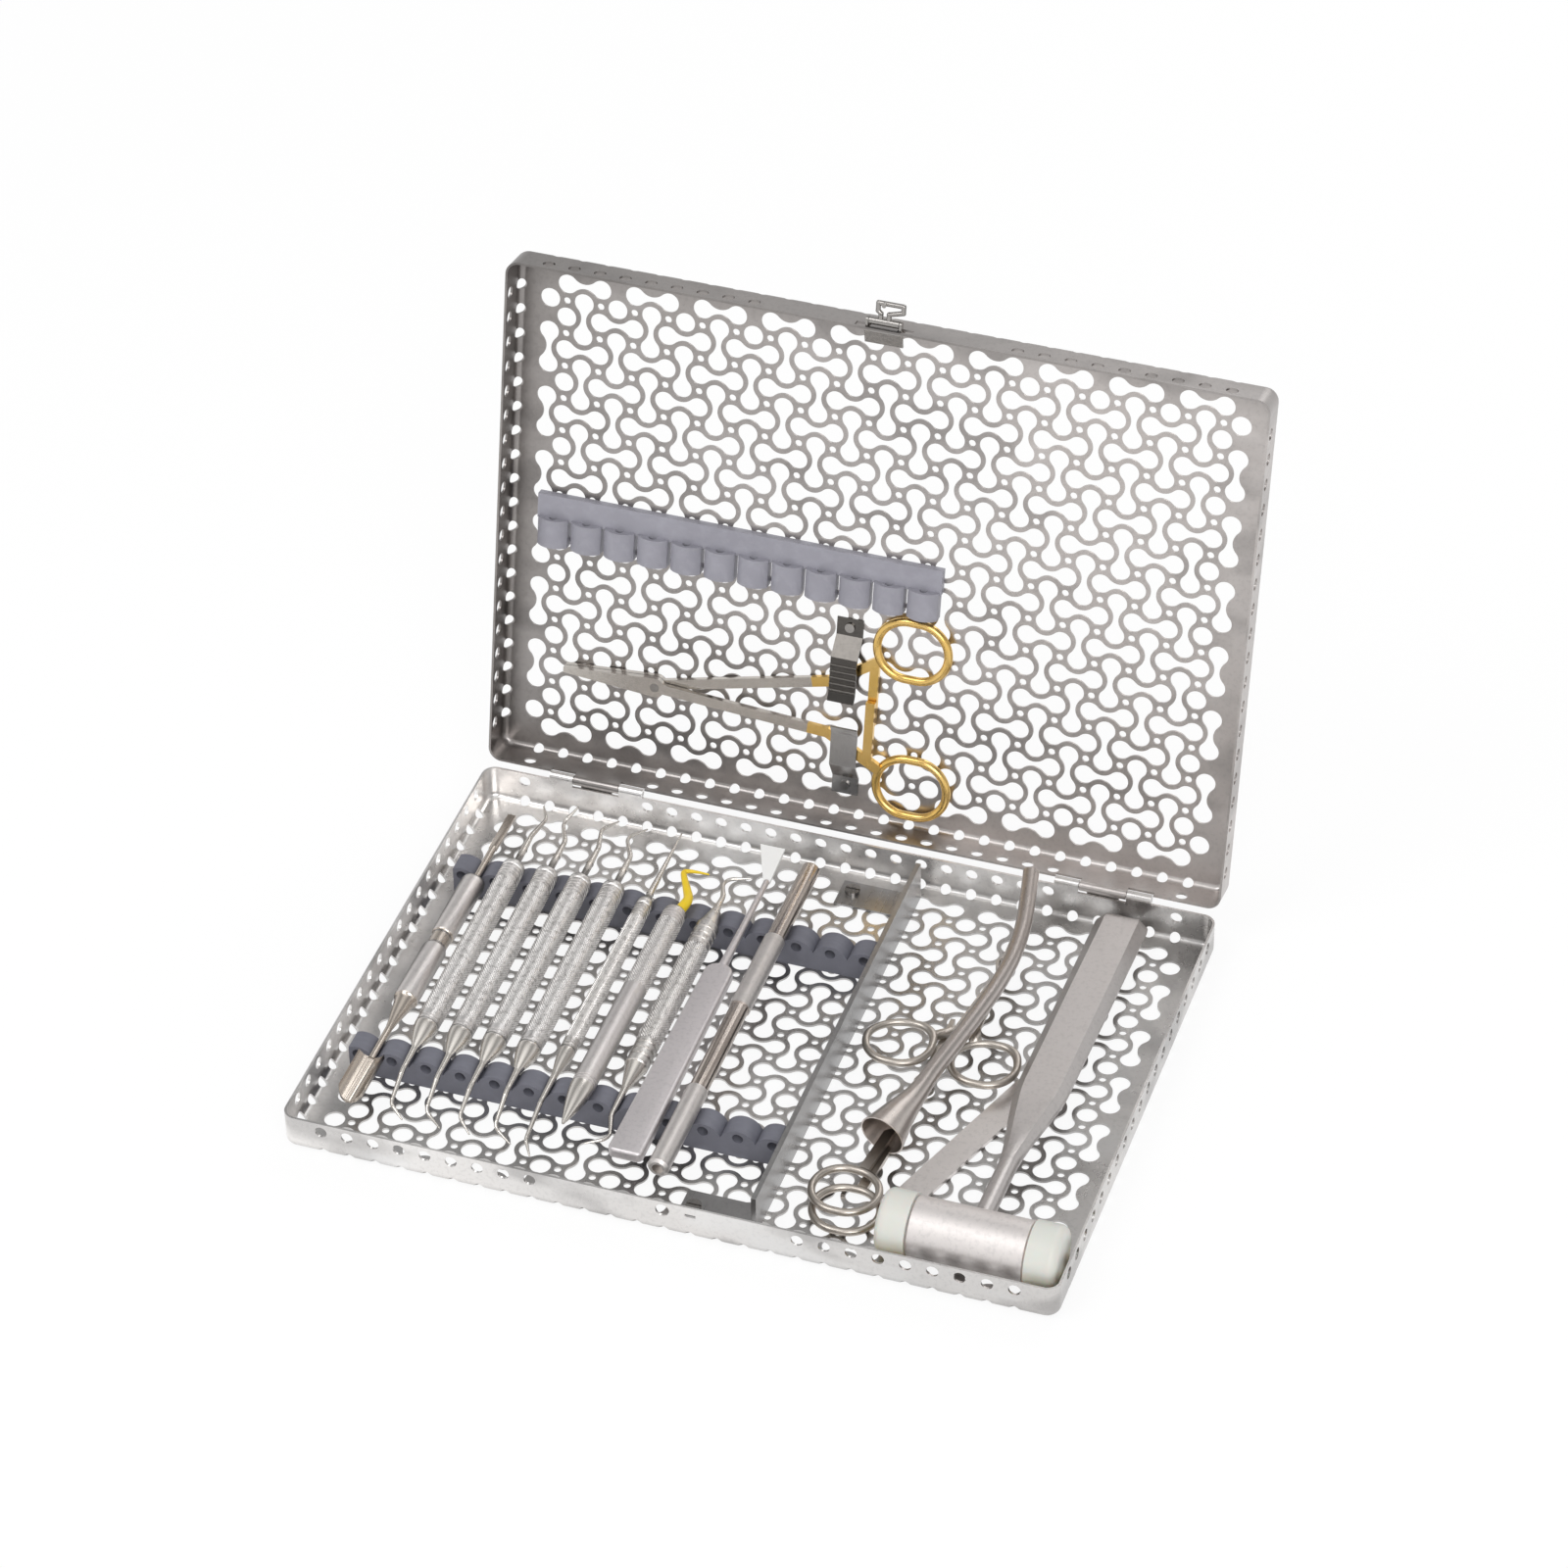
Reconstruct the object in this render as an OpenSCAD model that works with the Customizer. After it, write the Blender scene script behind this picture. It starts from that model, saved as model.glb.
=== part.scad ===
// Perforated dental instrument cassette with its lid open, loaded with a set of hand instruments.
// Millimetres. Origin at the centre of the base underside, +X to the right seen from the front,
// +Y towards the hinges, +Z up. The lid is drawn in its closed place and then swung open.

/* [Trays] */
// outside width of the closed cassette, left to right
cassette_w = 280; // [240:1:320]
// outside depth of the closed cassette, front to hinge side
cassette_d = 200; // [160:1:240]
// height of the base tray
base_h = 14; // [12:0.5:18]
// height of the lid tray
lid_h = 14; // [12:0.5:18]
// gap between the two rims when closed
rim_gap = 1; // [0.5:0.1:2]
// thickness of the steel sheet
sheet_t = 0.8; // [0.6:0.1:1]
// outside radius of the bend between floor and wall
bend_r = 3; // [2:0.5:4]
// outside radius of the upright corners
corner_r = 5; // [4:0.5:8]
// how far the lid stands open
lid_open = 102; // [90:1:110]

/* [Lattice] */
// distance between neighbouring dumbbell openings
lattice_pitch = 12.74; // [12:0.05:13]
// openings from left to right
lattice_cols = 21; // [15:2:21]
// openings from front to back
lattice_rows = 15; // [11:2:15]
// radius of each round end of an opening
lobe_r = 3.67; // [3:0.01:3.8]
// width of steel between two openings
lattice_web = 1.67; // [1.2:0.01:2.2]
// radius of the small dots between four openings
dot_r = 1.3; // [0.8:0.05:1.5]

/* [Wall holes] */
// distance between wall holes
wall_pitch = 9.6; // [9:0.1:12]
// radius of the upper wall holes
wall_hole_r = 2.2; // [1.5:0.1:2.6]
// radius of the holes through the lower bend
bend_hole_r = 2; // [1.5:0.1:2.1]
// hole centre below the rim
hole_below_rim = 3.7; // [3:0.1:5]
// half length of the plain stretch at the middle of the front walls
plain_half = 45; // [30:1:60]
// half length of the plain stretch at each hinge
hinge_plain_half = 20; // [18:1:30]
// radius of the base hole that takes the latch nose
latch_hole_r = 2.5; // [2:0.1:3]

/* [Hinges] */
// distance of each hinge from the middle
hinge_x = 97; // [60:1:110]
// length of one hinge
hinge_len = 36; // [24:1:50]
// length of the lid knuckle
lid_knuckle_len = 17.4; // [10:0.2:24]
// gap between neighbouring knuckles
knuckle_gap = 0.3; // [0.2:0.05:0.6]
// outside radius of the rolled knuckles
knuckle_r = 1.85; // [1.6:0.05:2.2]
// radius of the hinge pin
hinge_pin_r = 1; // [0.8:0.05:1.2]
// running clearance of the pin
hinge_play = 0.05; // [0.02:0.01:0.1]
// distance of the hinge axis behind the rear wall
hinge_out = 1.1; // [1:0.05:1.5]
// free space around a knuckle in the other tray
knuckle_relief = 0.35; // [0.3:0.05:0.6]
// width of the stop tongue
stop_w = 12; // [6:0.5:16]
// reach of the stop tongue from the hinge axis
stop_reach = 4.2; // [3.5:0.1:6]
// gap between stop tongue and rear wall when fully open
stop_gap = 0.3; // [0.2:0.05:0.5]

/* [Latch] */
// height of the latch pin above the lid rim
latch_pin_up = 2.4; // [1.8:0.1:4]
// distance of the latch pin in front of the lid wall
latch_pin_out = 2; // [1.8:0.1:3]
// radius of the latch pin
latch_pin_r = 0.7; // [0.5:0.05:1]
// running clearance of the latch pin
latch_play = 0.05; // [0.02:0.01:0.1]
// outside radius of the latch knuckle
latch_knuckle_r = 1.45; // [1.2:0.05:1.8]
// half length of the latch knuckle
latch_knuckle_half = 5.4; // [4:0.1:7]
// gap between latch knuckle and ears
latch_side_gap = 0.3; // [0.2:0.05:0.6]
// thickness of the bracket sheet
bracket_t = 0.8; // [0.6:0.1:1.2]
// half width of the bracket plate inside the lid
bracket_half = 7; // [5:0.5:9]
// height of the bracket flange riveted to the lid wall
bracket_up = 5.4; // [4:0.2:8]
// depth of the sloping bracket plate
bracket_depth = 6; // [4:0.5:9]
// slope of the bracket plate
bracket_slope = 22; // [0:1:40]
// half height of the bracket ears
ear_half = 1.35; // [1:0.05:1.8]
// outer end of each window in the lid wall
window_end = 10.5; // [9:0.5:14]
// inner end of each window in the lid wall
window_start = 5; // [3:0.5:6]
// half height of the windows
window_half = 1.5; // [1.5:0.1:2.2]
// wire radius of the latch loop
loop_wire_r = 0.9; // [0.6:0.05:1.2]
// reach of the loop from its pin
loop_reach = 7.1; // [6:0.1:9]
// distance of the loop shoulder from its pin
loop_shoulder = 3.2; // [2:0.1:4]
// half width of the loop neck
loop_neck_half = 1.5; // [1:0.1:2.5]
// left edge of the loop head
loop_left = 2.6; // [1.5:0.1:5]
// right edge of the loop head
loop_right = 6.6; // [4:0.1:8]
// distance of the right shoulder from its pin
loop_corner = 4.6; // [3:0.1:6]
// radius of the nose that enters the base hole
nose_r = 0.8; // [0.6:0.05:1.2]
// length of the nose that enters the base hole
nose_len = 2.4; // [1.8:0.1:3]
// length of the small slot beside the latch hole
slot_mark_len = 4; // [2:0.5:6]
// height of the small slot beside the latch hole
slot_mark_h = 1.2; // [0.8:0.1:2]
// position of the small slot beside the latch hole
slot_mark_x = 10; // [6:0.5:16]

/* [Base rails] */
// left end of the silicone rails
rail_left = -131.5; // [-134:0.5:-120]
// right end of the silicone rails
rail_right = 27.5; // [20:0.5:28]
// first instrument place
rail_first = -121.8; // [-125:0.1:-118]
// distance between instrument places
rail_pitch = 12.8; // [12:0.1:14]
// number of instrument places
rail_places = 12; // [6:1:12]
// top of the rail domes above the cassette underside
dome_top = 12.8; // [10:0.1:14]
// radius of each dome
dome_r = 6.8; // [6.6:0.1:9]
// radius of the hole through each dome
dome_hole_r = 2; // [1:0.1:2.5]
// height of the dome holes
dome_hole_z = 9.5; // [7:0.1:11]
// length of the rails from front to back
rail_depth = 8.4; // [6:0.2:12]
// middle of the rear rail
rear_rail_y = 47.2; // [40:0.2:60]
// middle of the front rail
front_rail_y = -53.8; // [-70:0.2:-40]
// head radius of the rail studs
stud_head_r = 1.9; // [1.5:0.1:3]
// shank radius of the rail studs
stud_shank_r = 1.1; // [0.8:0.1:1.6]
// depth of the stud shank in the rail
stud_depth = 2.4; // [1:0.2:4]
// free height under the stud heads
stud_clear = 0.1; // [0.05:0.05:0.3]

/* [Lid rail] */
// left end of the lid rail
lid_rail_left = -128; // [-134:0.5:-110]
// front edge of the band of the lid rail
lid_band_front = -7; // [-20:0.5:10]
// width of the band
lid_band_w = 9.5; // [6:0.5:14]
// thickness of the band
lid_band_t = 3.2; // [2:0.2:5]
// length of the pads behind the band
pad_len = 10; // [6:0.5:14]
// height of the pads
pad_h = 7; // [4:0.2:8]
// width of the slits between pads
pad_slit = 1.4; // [0.8:0.1:2]
// radius of the pad tops
pad_r = 7.2; // [6:0.1:9]
// radius of the arch holes under the pads
pad_hole_r = 1.5; // [1:0.1:2.2]

/* [Divider] */
// right face of the divider
divider_x = 31; // [20:0.5:40]
// thickness of the divider, two folded sheets
divider_t = 1.8; // [1:0.1:2.4]
// top of the divider
divider_top = 17; // [10:0.5:20]
// length of the divider from its middle to each end
divider_half = 92; // [70:1:94]
// length of the feet towards the left
foot_len = 29; // [15:0.5:32]
// width of the feet from front to back
foot_w = 13; // [8:0.5:18]
// distance of the foot screws from the divider
foot_screw_in = 24.4; // [10:0.1:28]
// distance of the foot screws from the ends of the divider
foot_screw_end = 5.1; // [3:0.1:12]
// shank radius of the foot screws
screw_shank_r = 1.2; // [0.8:0.1:1.6]
// head radius of the foot screws
screw_head_r = 2.8; // [2:0.1:3.5]
// head height of the foot screws
screw_head_h = 1.4; // [1:0.1:2]
// width of the screw slot
screw_slot_w = 0.8; // [0.5:0.1:1.2]
// depth of the screw slot
screw_slot_d = 0.6; // [0.3:0.1:0.8]

/* [Hand instruments] */
// radius of the thick hollow handles
thick_r = 4.3; // [3.5:0.1:4.7]
// radius of the slender handles
slim_r = 3.6; // [2.5:0.1:4]
// free space between an instrument and the rails
rest_gap = 0.3; // [0.2:0.05:0.6]
// thick handle front end
thick_front = -41; // [-48:0.5:-30]
// thick handle rear end
thick_rear = 46; // [38:0.5:50]
// length of the cone between handle and shank
cone_len = 11; // [6:0.5:16]
// radius of the shanks where they leave the cone
shank_r = 1.3; // [1:0.05:1.8]
// radius of the working ends
tip_r = 0.7; // [0.5:0.05:1]
// radius of the shanks behind their first bend
neck_end_r = 0.95; // [0.6:0.05:1.3]
// radius of the very points
point_r = 0.3; // [0.2:0.05:0.6]
// bending radius of the shanks
shank_bend_r = 7; // [4:0.5:12]
// bending radius of the working ends
blade_bend_r = 4; // [2:0.5:8]
// radius of a cone above the edge of the front rail
front_rest_r = 2; // [1:0.1:4]
// radius of a cone above the edge of the rear rail
rear_rest_r = 3; // [1:0.1:4]
// length of the curved working tips
blade_len = 6; // [3:0.5:10]
// ball at a joint of two wires, compared with the wire
joint_ball = 1.05; // [1.03:0.01:1.1]
// free length of a wire inside such a ball
joint_inset = 0.1; // [0.05:0.05:0.15]
// depth of the grip grooves
groove_d = 0.35; // [0.2:0.05:0.6]
// length of one grip groove
groove_w = 1.2; // [0.6:0.1:2]
// distance between grip grooves
groove_pitch = 3; // [2:0.1:6]

/* [Slender probe and scaler] */
// front end of the shorter handles
short_front = -37; // [-48:0.5:-30]
// rear end of the shorter handles
short_rear = 39; // [34:0.5:46]
// length of the straight rear needle
needle_len = 34; // [20:1:38]
// length of the straight front shank of the slender probe
needle_front = 14; // [8:0.5:20]

/* [Elevator] */
// front end of its handle
elevator_front = -26; // [-34:0.5:-20]
// rear end of its handle
elevator_rear = 32; // [24:0.5:36]
// length of its front cone
elevator_cone = 18; // [10:0.5:22]
// length of its rear cone
elevator_tail = 7; // [4:0.5:12]
// length of its front shank
elevator_neck = 17; // [12:0.5:22]
// length of its rear shank
elevator_shank = 20; // [12:0.5:26]
// width of the flat rear blade
elevator_blade_w = 3; // [2.8:0.1:5]
// thickness of the flat rear blade
elevator_blade_t = 1.2; // [0.8:0.1:2]
// length of the flat rear blade
elevator_blade_len = 20; // [10:0.5:26]
// radius of the hollow of the spoon
spoon_r = 6.5; // [5:0.1:9]
// width of the spoon
spoon_w = 9.4; // [6:0.2:11]
// length of the spoon
spoon_len = 23; // [16:0.5:28]
// wall of the spoon
spoon_wall = 1.3; // [0.8:0.1:2]

/* [Yellow tipped probe] */
// front end of its handle cylinder
probe_front = -56; // [-70:0.5:-40]
// rear end of its handle
probe_rear = 42; // [36:0.5:50]
// length of its front cone
probe_cone = 19; // [10:0.5:24]
// length of the narrow collar
probe_collar = 5; // [3:0.5:8]
// depth of the collar
collar_d = 0.6; // [0.3:0.1:1.2]
// radius of the plastic tip at the handle
tip_root_r = 1.2; // [0.8:0.05:1.6]
// radius of the plastic tip at its end
tip_end_r = 0.5; // [0.3:0.05:1]
// sideways bend of the plastic tip
tip_lean = 20; // [5:0.5:30]
// length of the leaning part of the plastic tip
tip_run = 19; // [12:0.5:26]
// turn of the plastic tip at its knee
tip_knee = 100; // [80:1:120]
// bending radius of the plastic tip
tip_bend_r = 3; // [2:0.5:6]
// length of the plastic tip behind the knee
tip_hook = 9; // [5:0.5:12]

/* [Flat handle and bar] */
// width of the flat handle at the front
flat_front_w = 12.6; // [10:0.2:13]
// width of the flat handle at the rear
flat_rear_w = 10.4; // [8:0.2:12]
// thickness of the flat handle
flat_t = 4.5; // [3:0.1:6]
// front end of the flat handle
flat_front = -84; // [-88:0.5:-70]
// rear end of the flat handle
flat_rear = 18; // [10:0.5:30]
// width of the flared blade at its edge
flare_w = 9.4; // [6:0.2:12]
// width of the flared blade at its root
flare_root_w = 2.6; // [2:0.1:4]
// length of the flared blade
flare_len = 19; // [10:0.5:24]
// thickness of the flared blade
flare_t = 1.2; // [0.8:0.1:2]
// radius of the bar handle
bar_r = 3.9; // [3:0.1:4.3]
// radius of the bar at its polished parts
bar_slim_r = 3.45; // [3:0.05:4]
// front end of the bar handle
bar_front = -86; // [-90:0.5:-70]
// rear end of the bar handle
bar_rear = 80; // [60:0.5:90]

// bevel of the flat handle
flat_bevel = 1; // [0.4:0.1:1.8]
// width of the dark neck behind the flat handle
flat_neck_w = 5; // [3:0.1:8]
// rear end of that neck
flat_neck_end = 44; // [30:0.5:50]
// radius of the thin rod that holds the flared blade
flare_rod_r = 1.1; // [0.8:0.05:1.6]
// root of the flared blade, front to back
flare_y = 67; // [60:0.5:72]
// offset of the flared edge to the left
flare_shift = 4.1; // [0:0.1:6]
// rear end of the front sleeve of the bar
bar_sleeve_front = -45; // [-60:0.5:-30]
// front end of the rear sleeve of the bar
bar_sleeve_start = 0; // [-10:0.5:10]
// rear end of the rear sleeve of the bar
bar_sleeve_end = 38; // [20:0.5:42]
// radius of the bar inside its sleeves
bar_inner_r = 2; // [1:0.1:3]

/* [Mallet] */
// chamfer of the steel head
head_chamfer = 0.8; // [0.4:0.1:2]
// rounding of the nylon caps
cap_round = 3; // [1:0.2:6]
// length of the round neck from the head centre
neck_len = 30; // [20:1:40]
// distance from the head centre where the flat handle starts
grip_start = 22; // [16:1:30]
// head centre, left to right
mallet_x = 105.2; // [95:0.2:110]
// head centre, front to back
mallet_y = -83.6; // [-86:0.2:-70]
// radius of the steel head
head_r = 11; // [9:0.1:12]
// length of the steel head
head_len = 42; // [36:0.5:48]
// radius of the nylon caps
cap_r = 11.7; // [10:0.1:12]
// length of the nylon caps
cap_len = 11; // [8:0.5:14]
// radius of the threaded spigot inside each cap
spigot_r = 5; // [3:0.1:7]
// length of the spigot
spigot_len = 6; // [4:0.5:8]
// width of the handle at its rear
grip_w = 15; // [12:0.2:18]
// thickness of the handle at its rear
grip_t = 9.6; // [8:0.2:12]
// width of the handle next to the head
grip_front_w = 9; // [7:0.2:12]
// length of the handle from the head centre
grip_len = 172; // [120:1:176]
// distance from the head centre where the handle reaches full width
grip_full = 95; // [50:1:130]
// width of the bevels of the handle
grip_bevel = 4; // [2:0.2:6]
// downward tilt of the handle towards its rear end
grip_tilt = 2; // [0:0.1:4]
// sideways turn of the handle
grip_turn = 1; // [-4:0.1:4]
// radius of the handle neck at the head
neck_r = 4.2; // [3.5:0.1:5]

/* [Suction tube] */
// outside radius of the tube
tube_r = 3.25; // [2.5:0.05:4]
// inside radius of the tube
tube_bore_r = 2.45; // [1.5:0.05:3]
// outside radius of the bell mouth
bell_r = 7.8; // [6:0.1:9]
// length of the bell
bell_len = 30; // [20:0.5:36]
// wall of the bell at its rim
bell_wall = 0.8; // [0.6:0.1:1.5]
// rear end of the tube, left to right
tube_rear_x = 70; // [60:0.5:80]
// rear end of the tube, front to back
tube_rear_y = 93; // [80:0.5:96]
// height of the tube axis
tube_z = 13.6; // [11:0.1:18]
// length of the straight part of the tube
tube_len = 95; // [60:1:110]
// sideways lean of the tube
tube_lean = 1; // [-4:0.1:6]
// bend of the tube before the bell
tube_bend = 11; // [4:0.5:20]
// radius of that bend
tube_bend_r = 60; // [30:1:120]
// roll of the bend out of the flat
tube_roll = 30; // [0:1:60]
// step of the fine rings where the pieces of the tube meet
tube_step = 0.05; // [0.03:0.01:0.1]

/* [Retractor] */
// width of the flat bar
retractor_w = 10.4; // [8:0.2:12]
// thickness of the flat bar
retractor_t = 1.4; // [1:0.1:2]
// length of the flat bar
retractor_len = 84; // [60:1:100]
// front end of the flat bar, left to right
retractor_x = 73.5; // [70:0.5:80]
// front end of the flat bar, front to back
retractor_y = -64; // [-66:0.5:-50]
// direction of the flat bar, measured from +X
retractor_dir = 70.5; // [60:0.5:80]

/* [Scissors] */
// wire radius of the finger rings
ring_wire_r = 1.4; // [1:0.05:1.8]
// centre line radius of the finger rings
ring_r = 10.7; // [9:0.1:12]
// extra length of the rings beyond a circle
ring_stretch = 2; // [0:0.5:6]
// height of the scissors above the underside
scissors_z = 7.6; // [6:0.1:9]
// left ring centre, left to right
ring_a_x = 49.6; // [45:0.2:55]
// left ring centre, front to back
ring_a_y = 8.4; // [0:0.2:16]
// right ring centre, left to right
ring_b_x = 81.4; // [75:0.2:88]
// right ring centre, front to back
ring_b_y = 6.6; // [0:0.2:16]
// pivot of the scissors, front to back
scissors_pivot_y = 58; // [40:1:70]
// pivot of the scissors, left to right
scissors_pivot_x = 67.2; // [60:0.2:75]
// width of the scissor shanks
scissors_w = 4; // [3:0.1:6]
// thickness of one scissor half
scissors_t = 1.5; // [1:0.1:2]
// reach of the blades behind the pivot
scissors_blade = 30; // [20:1:36]
// width of the blades at their points
scissors_tip_w = 1; // [0.6:0.1:2]
// radius of the flat round the screw
scissors_boss_r = 3.4; // [2.6:0.1:4.5]
// head height of the scissors screw
scissors_head_h = 0.6; // [0.4:0.1:0.8]
// gap between the two halves of the scissors and of the forceps
half_gap = 0.3; // [0.2:0.05:0.6]
// running clearance of the pivot screws
screw_play = 0.05; // [0.02:0.01:0.1]
// distance of the shank bends in front of the pivot
scissors_bend = 36; // [24:1:44]
// distance between the two shanks at that bend
scissors_spread = 5.4; // [4:0.1:8]
// radius of the scissors screw
scissors_screw_r = 1.2; // [0.8:0.05:1.6]
// head radius of the scissors screw
scissors_head_r = 2.2; // [1.6:0.1:3]

/* [Forceps] */
// left ring centre of the forceps, left to right
ring_c_x = 54.6; // [50:0.2:60]
// left ring centre of the forceps, front to back
ring_c_y = -67; // [-75:0.2:-55]
// second ring offset to the right
ring_d_dx = 2.2; // [0:0.1:6]
// second ring offset to the front
ring_d_dy = -6; // [-10:0.1:0]
// pivot of the forceps, left to right
forceps_pivot_x = 63.4; // [60:0.2:70]
// pivot of the forceps, front to back
forceps_pivot_y = -6; // [-20:0.5:10]
// height of the lower forceps half
forceps_z = 1.2; // [1:0.1:2]
// thickness of one forceps half
forceps_t = 2; // [1.4:0.1:2.4]
// reach of the forceps jaws behind the pivot
forceps_jaw = 34; // [20:1:40]
// width of the forceps shanks
forceps_w = 3.6; // [3:0.1:5]
// width of the forceps jaws at their tips
forceps_tip_w = 1.6; // [1:0.1:2.4]
// radius of the flat round the forceps screw
forceps_boss_r = 3.6; // [3:0.1:5]
// radius of the forceps screw
forceps_screw_r = 1.3; // [0.8:0.05:1.8]

/* [Needle holder] */
// pivot in the closed lid, left to right
holder_x = -79.5; // [-90:0.5:-70]
// pivot in the closed lid, front to back
holder_y = 61.4; // [50:0.2:70]
// reach of the jaws beyond the pivot
holder_jaw = 35.5; // [25:0.5:45]
// width of a jaw at the pivot
holder_jaw_w = 7.6; // [5:0.2:10]
// width of a jaw at its tip
holder_tip_w = 2.2; // [1.4:0.1:4]
// radius of the box joint screw
holder_screw_r = 1.7; // [1:0.05:2.4]
// running clearance of that screw
holder_play = 0.05; // [0.02:0.01:0.1]
// thickness of the needle holder
holder_t = 4.4; // [3:0.1:5]
// place where the gold parts start, left to right
bow_start_x = -20.5; // [-28:0.5:-16]
// distance of the needle holder from the lid plate
holder_gap = 0.6; // [0.3:0.1:1.5]
// width of the shanks
holder_w = 3.8; // [3:0.1:5]
// wire radius of the gold rings
bow_wire_r = 1.6; // [1.2:0.05:2]
// centre line radius of the gold rings
bow_r = 11.4; // [9:0.1:13]
// extra length of the gold rings
bow_stretch = 4; // [0:0.5:8]
// ring of half a, left to right
bow_a_x = 16.6; // [10:0.2:25]
// ring of half a, front to back
bow_a_y = 27.1; // [20:0.2:35]
// ring of half b, left to right
bow_b_x = 19.6; // [10:0.2:25]
// ring of half b, front to back
bow_b_y = 82.2; // [75:0.2:84]
// place where the shank of half a turns, front to back
shank_a_y = 45.6; // [40:0.2:50]
// place where the shank of half b turns, front to back
shank_b_y = 65.4; // [60:0.2:70]
// place where both shanks turn, left to right
shank_turn_x = -13; // [-25:0.5:-5]
// width of the ratchet bars
ratchet_w = 3.4; // [2:0.1:5]
// left edge of the ratchet bars
ratchet_x = 1; // [-5:0.5:6]
// middle of the ratchet, front to back
ratchet_mid_y = 55; // [48:0.5:62]
// overlap of the two ratchet bars
ratchet_lap = 10; // [4:0.5:14]

/* [Spring clips] */
// width of the clips
clip_w = 10; // [6:0.2:14]
// thickness of the clips
clip_t = 0.6; // [0.4:0.05:1]
// upper clip, left to right
clip_upper_x = -8; // [-20:0.5:0]
// anchored end of the upper clip
clip_upper_y = 20; // [14:0.5:26]
// free end of the upper clip
clip_upper_end = 51; // [46:0.5:56]
// lower clip, left to right
clip_lower_x = -6; // [-20:0.5:0]
// anchored end of the lower clip
clip_lower_y = 91; // [84:0.5:93]
// free end of the lower clip
clip_lower_end = 61; // [56:0.5:64]
// length of the riveted foot of a clip
clip_foot = 7; // [5:0.5:10]
// length of the rise of a clip
clip_rise = 7; // [5:0.5:12]
// length of the turned up lip of a clip
clip_lip = 3; // [2:0.5:6]
// free space between clip and shank
clip_gap = 0.4; // [0.3:0.05:1]
// head radius of the clip rivets
rivet_r = 1.8; // [1.2:0.1:2.5]
// head height of the clip rivets
rivet_h = 0.8; // [0.5:0.1:1.2]

/* [Hidden] */
$fn = 0;
half_w = cassette_w / 2;
half_d = cassette_d / 2;
lid_rim_z = base_h + rim_gap;
top_z = lid_rim_z + lid_h;
plate_z = top_z - sheet_t;
foot_screw_y = divider_half - foot_screw_end;
hinge_y = half_d + hinge_out;
hinge_z = base_h + rim_gap / 2;
over = 1;
knuckle_tab = 2;
base_knuckle_start = lid_knuckle_len / 2 + knuckle_gap;
wall_cols = floor((half_w - corner_r - wall_hole_r) / wall_pitch);
wall_rows = floor((half_d - corner_r - wall_hole_r) / wall_pitch);
front_first = plain_half + wall_hole_r + over;
front_count = floor((half_w - corner_r - wall_hole_r - front_first) / wall_pitch);
latch_y = -half_d - latch_pin_out;
latch_z = lid_rim_z + latch_pin_up;
dome_z = dome_top - dome_r;
rest_shank_z = rest_height(shank_r);
rail_span = rear_rail_y - front_rail_y;
flat_z = dome_top + rest_gap;
mallet_z = sheet_t + rest_gap + cap_r;
holder_z = plate_z - holder_gap;
half_t = (holder_t - half_gap) / 2;
clip_z = holder_z - holder_t - clip_gap - clip_t / 2;

function place_x(i) = rail_first + i * rail_pitch;
function rest_height(r) = dome_z + sqrt(pow(dome_r + r + rest_gap, 2) - pow(rail_pitch / 2, 2));
function tilt_for(z_rear, z_front) = asin((z_rear - z_front) / rail_span);

// swings what is drawn in the closed place to the open lid
module swing_lid() {
  translate([0, hinge_y, hinge_z])
    rotate([-lid_open, 0, 0])
      translate([0, -hinge_y, -hinge_z])
        children();
}

// takes a shape drawn against the open lid back to the closed place
module swing_back() {
  translate([0, hinge_y, hinge_z])
    rotate([lid_open, 0, 0])
      translate([0, -hinge_y, -hinge_z])
        children();
}

// draws a flat outline in the upright plane through front and rear, along +X
module along_x(length) {
  rotate([90, 0, 90])
    linear_extrude(length, center = true)
      children();
}

// a round bar that starts at the origin and runs along +Y, children continue at its end
module rod(length, r1, r2) {
  rotate([-90, 0, 0])
    cylinder(h = length, r1 = r1, r2 = r2);
  translate([0, length, 0])
    children();
}

// straight piece of wire along +Y with a barely thicker ball at its start, children follow
module wire(length, r1, r2) {
  sphere(r1 * joint_ball);
  translate([0, joint_inset, 0])
    rod(length - 2 * joint_inset, r1, r2);
  translate([0, length, 0])
    children();
}

// carries what follows round a bend from +Y towards +X
module round_bend(radius, angle) {
  translate([radius, 0, 0])
    rotate([0, 0, -angle])
      translate([-radius, 0, 0])
        children();
}

// wire that bends from +Y towards +X, children follow
module curve(r, radius, angle) {
  sphere(r * joint_ball);
  translate([radius, 0, 0])
    rotate([0, 0, 180 - angle])
      rotate_extrude(angle = angle)
        translate([radius, 0])
          circle(r);
  round_bend(radius, angle)
    children();
}

// rolls what follows about the +Y direction
module roll(angle) {
  rotate([0, angle, 0])
    children();
}

// turns an outline of radius and length into a body along +Y
module lathe_y(points) {
  rotate([-90, 0, 0])
    rotate_extrude()
      polygon(points);
}

// a flat strip between two points
module strip(a, b, width) {
  d = b - a;
  translate(a)
    rotate([0, 0, atan2(d[1], d[0])])
      translate([0, -width / 2])
        square([norm(d), width]);
}

// a flat strip through several points with round corners, barely wider so that no edge is tangent
module strip_path(points, width) {
  for (i = [0 : len(points) - 2])
    strip(points[i], points[i + 1], width);
  for (i = [1 : len(points) - 2])
    translate(points[i])
      circle(joint_ball * width / 2);
}

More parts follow.
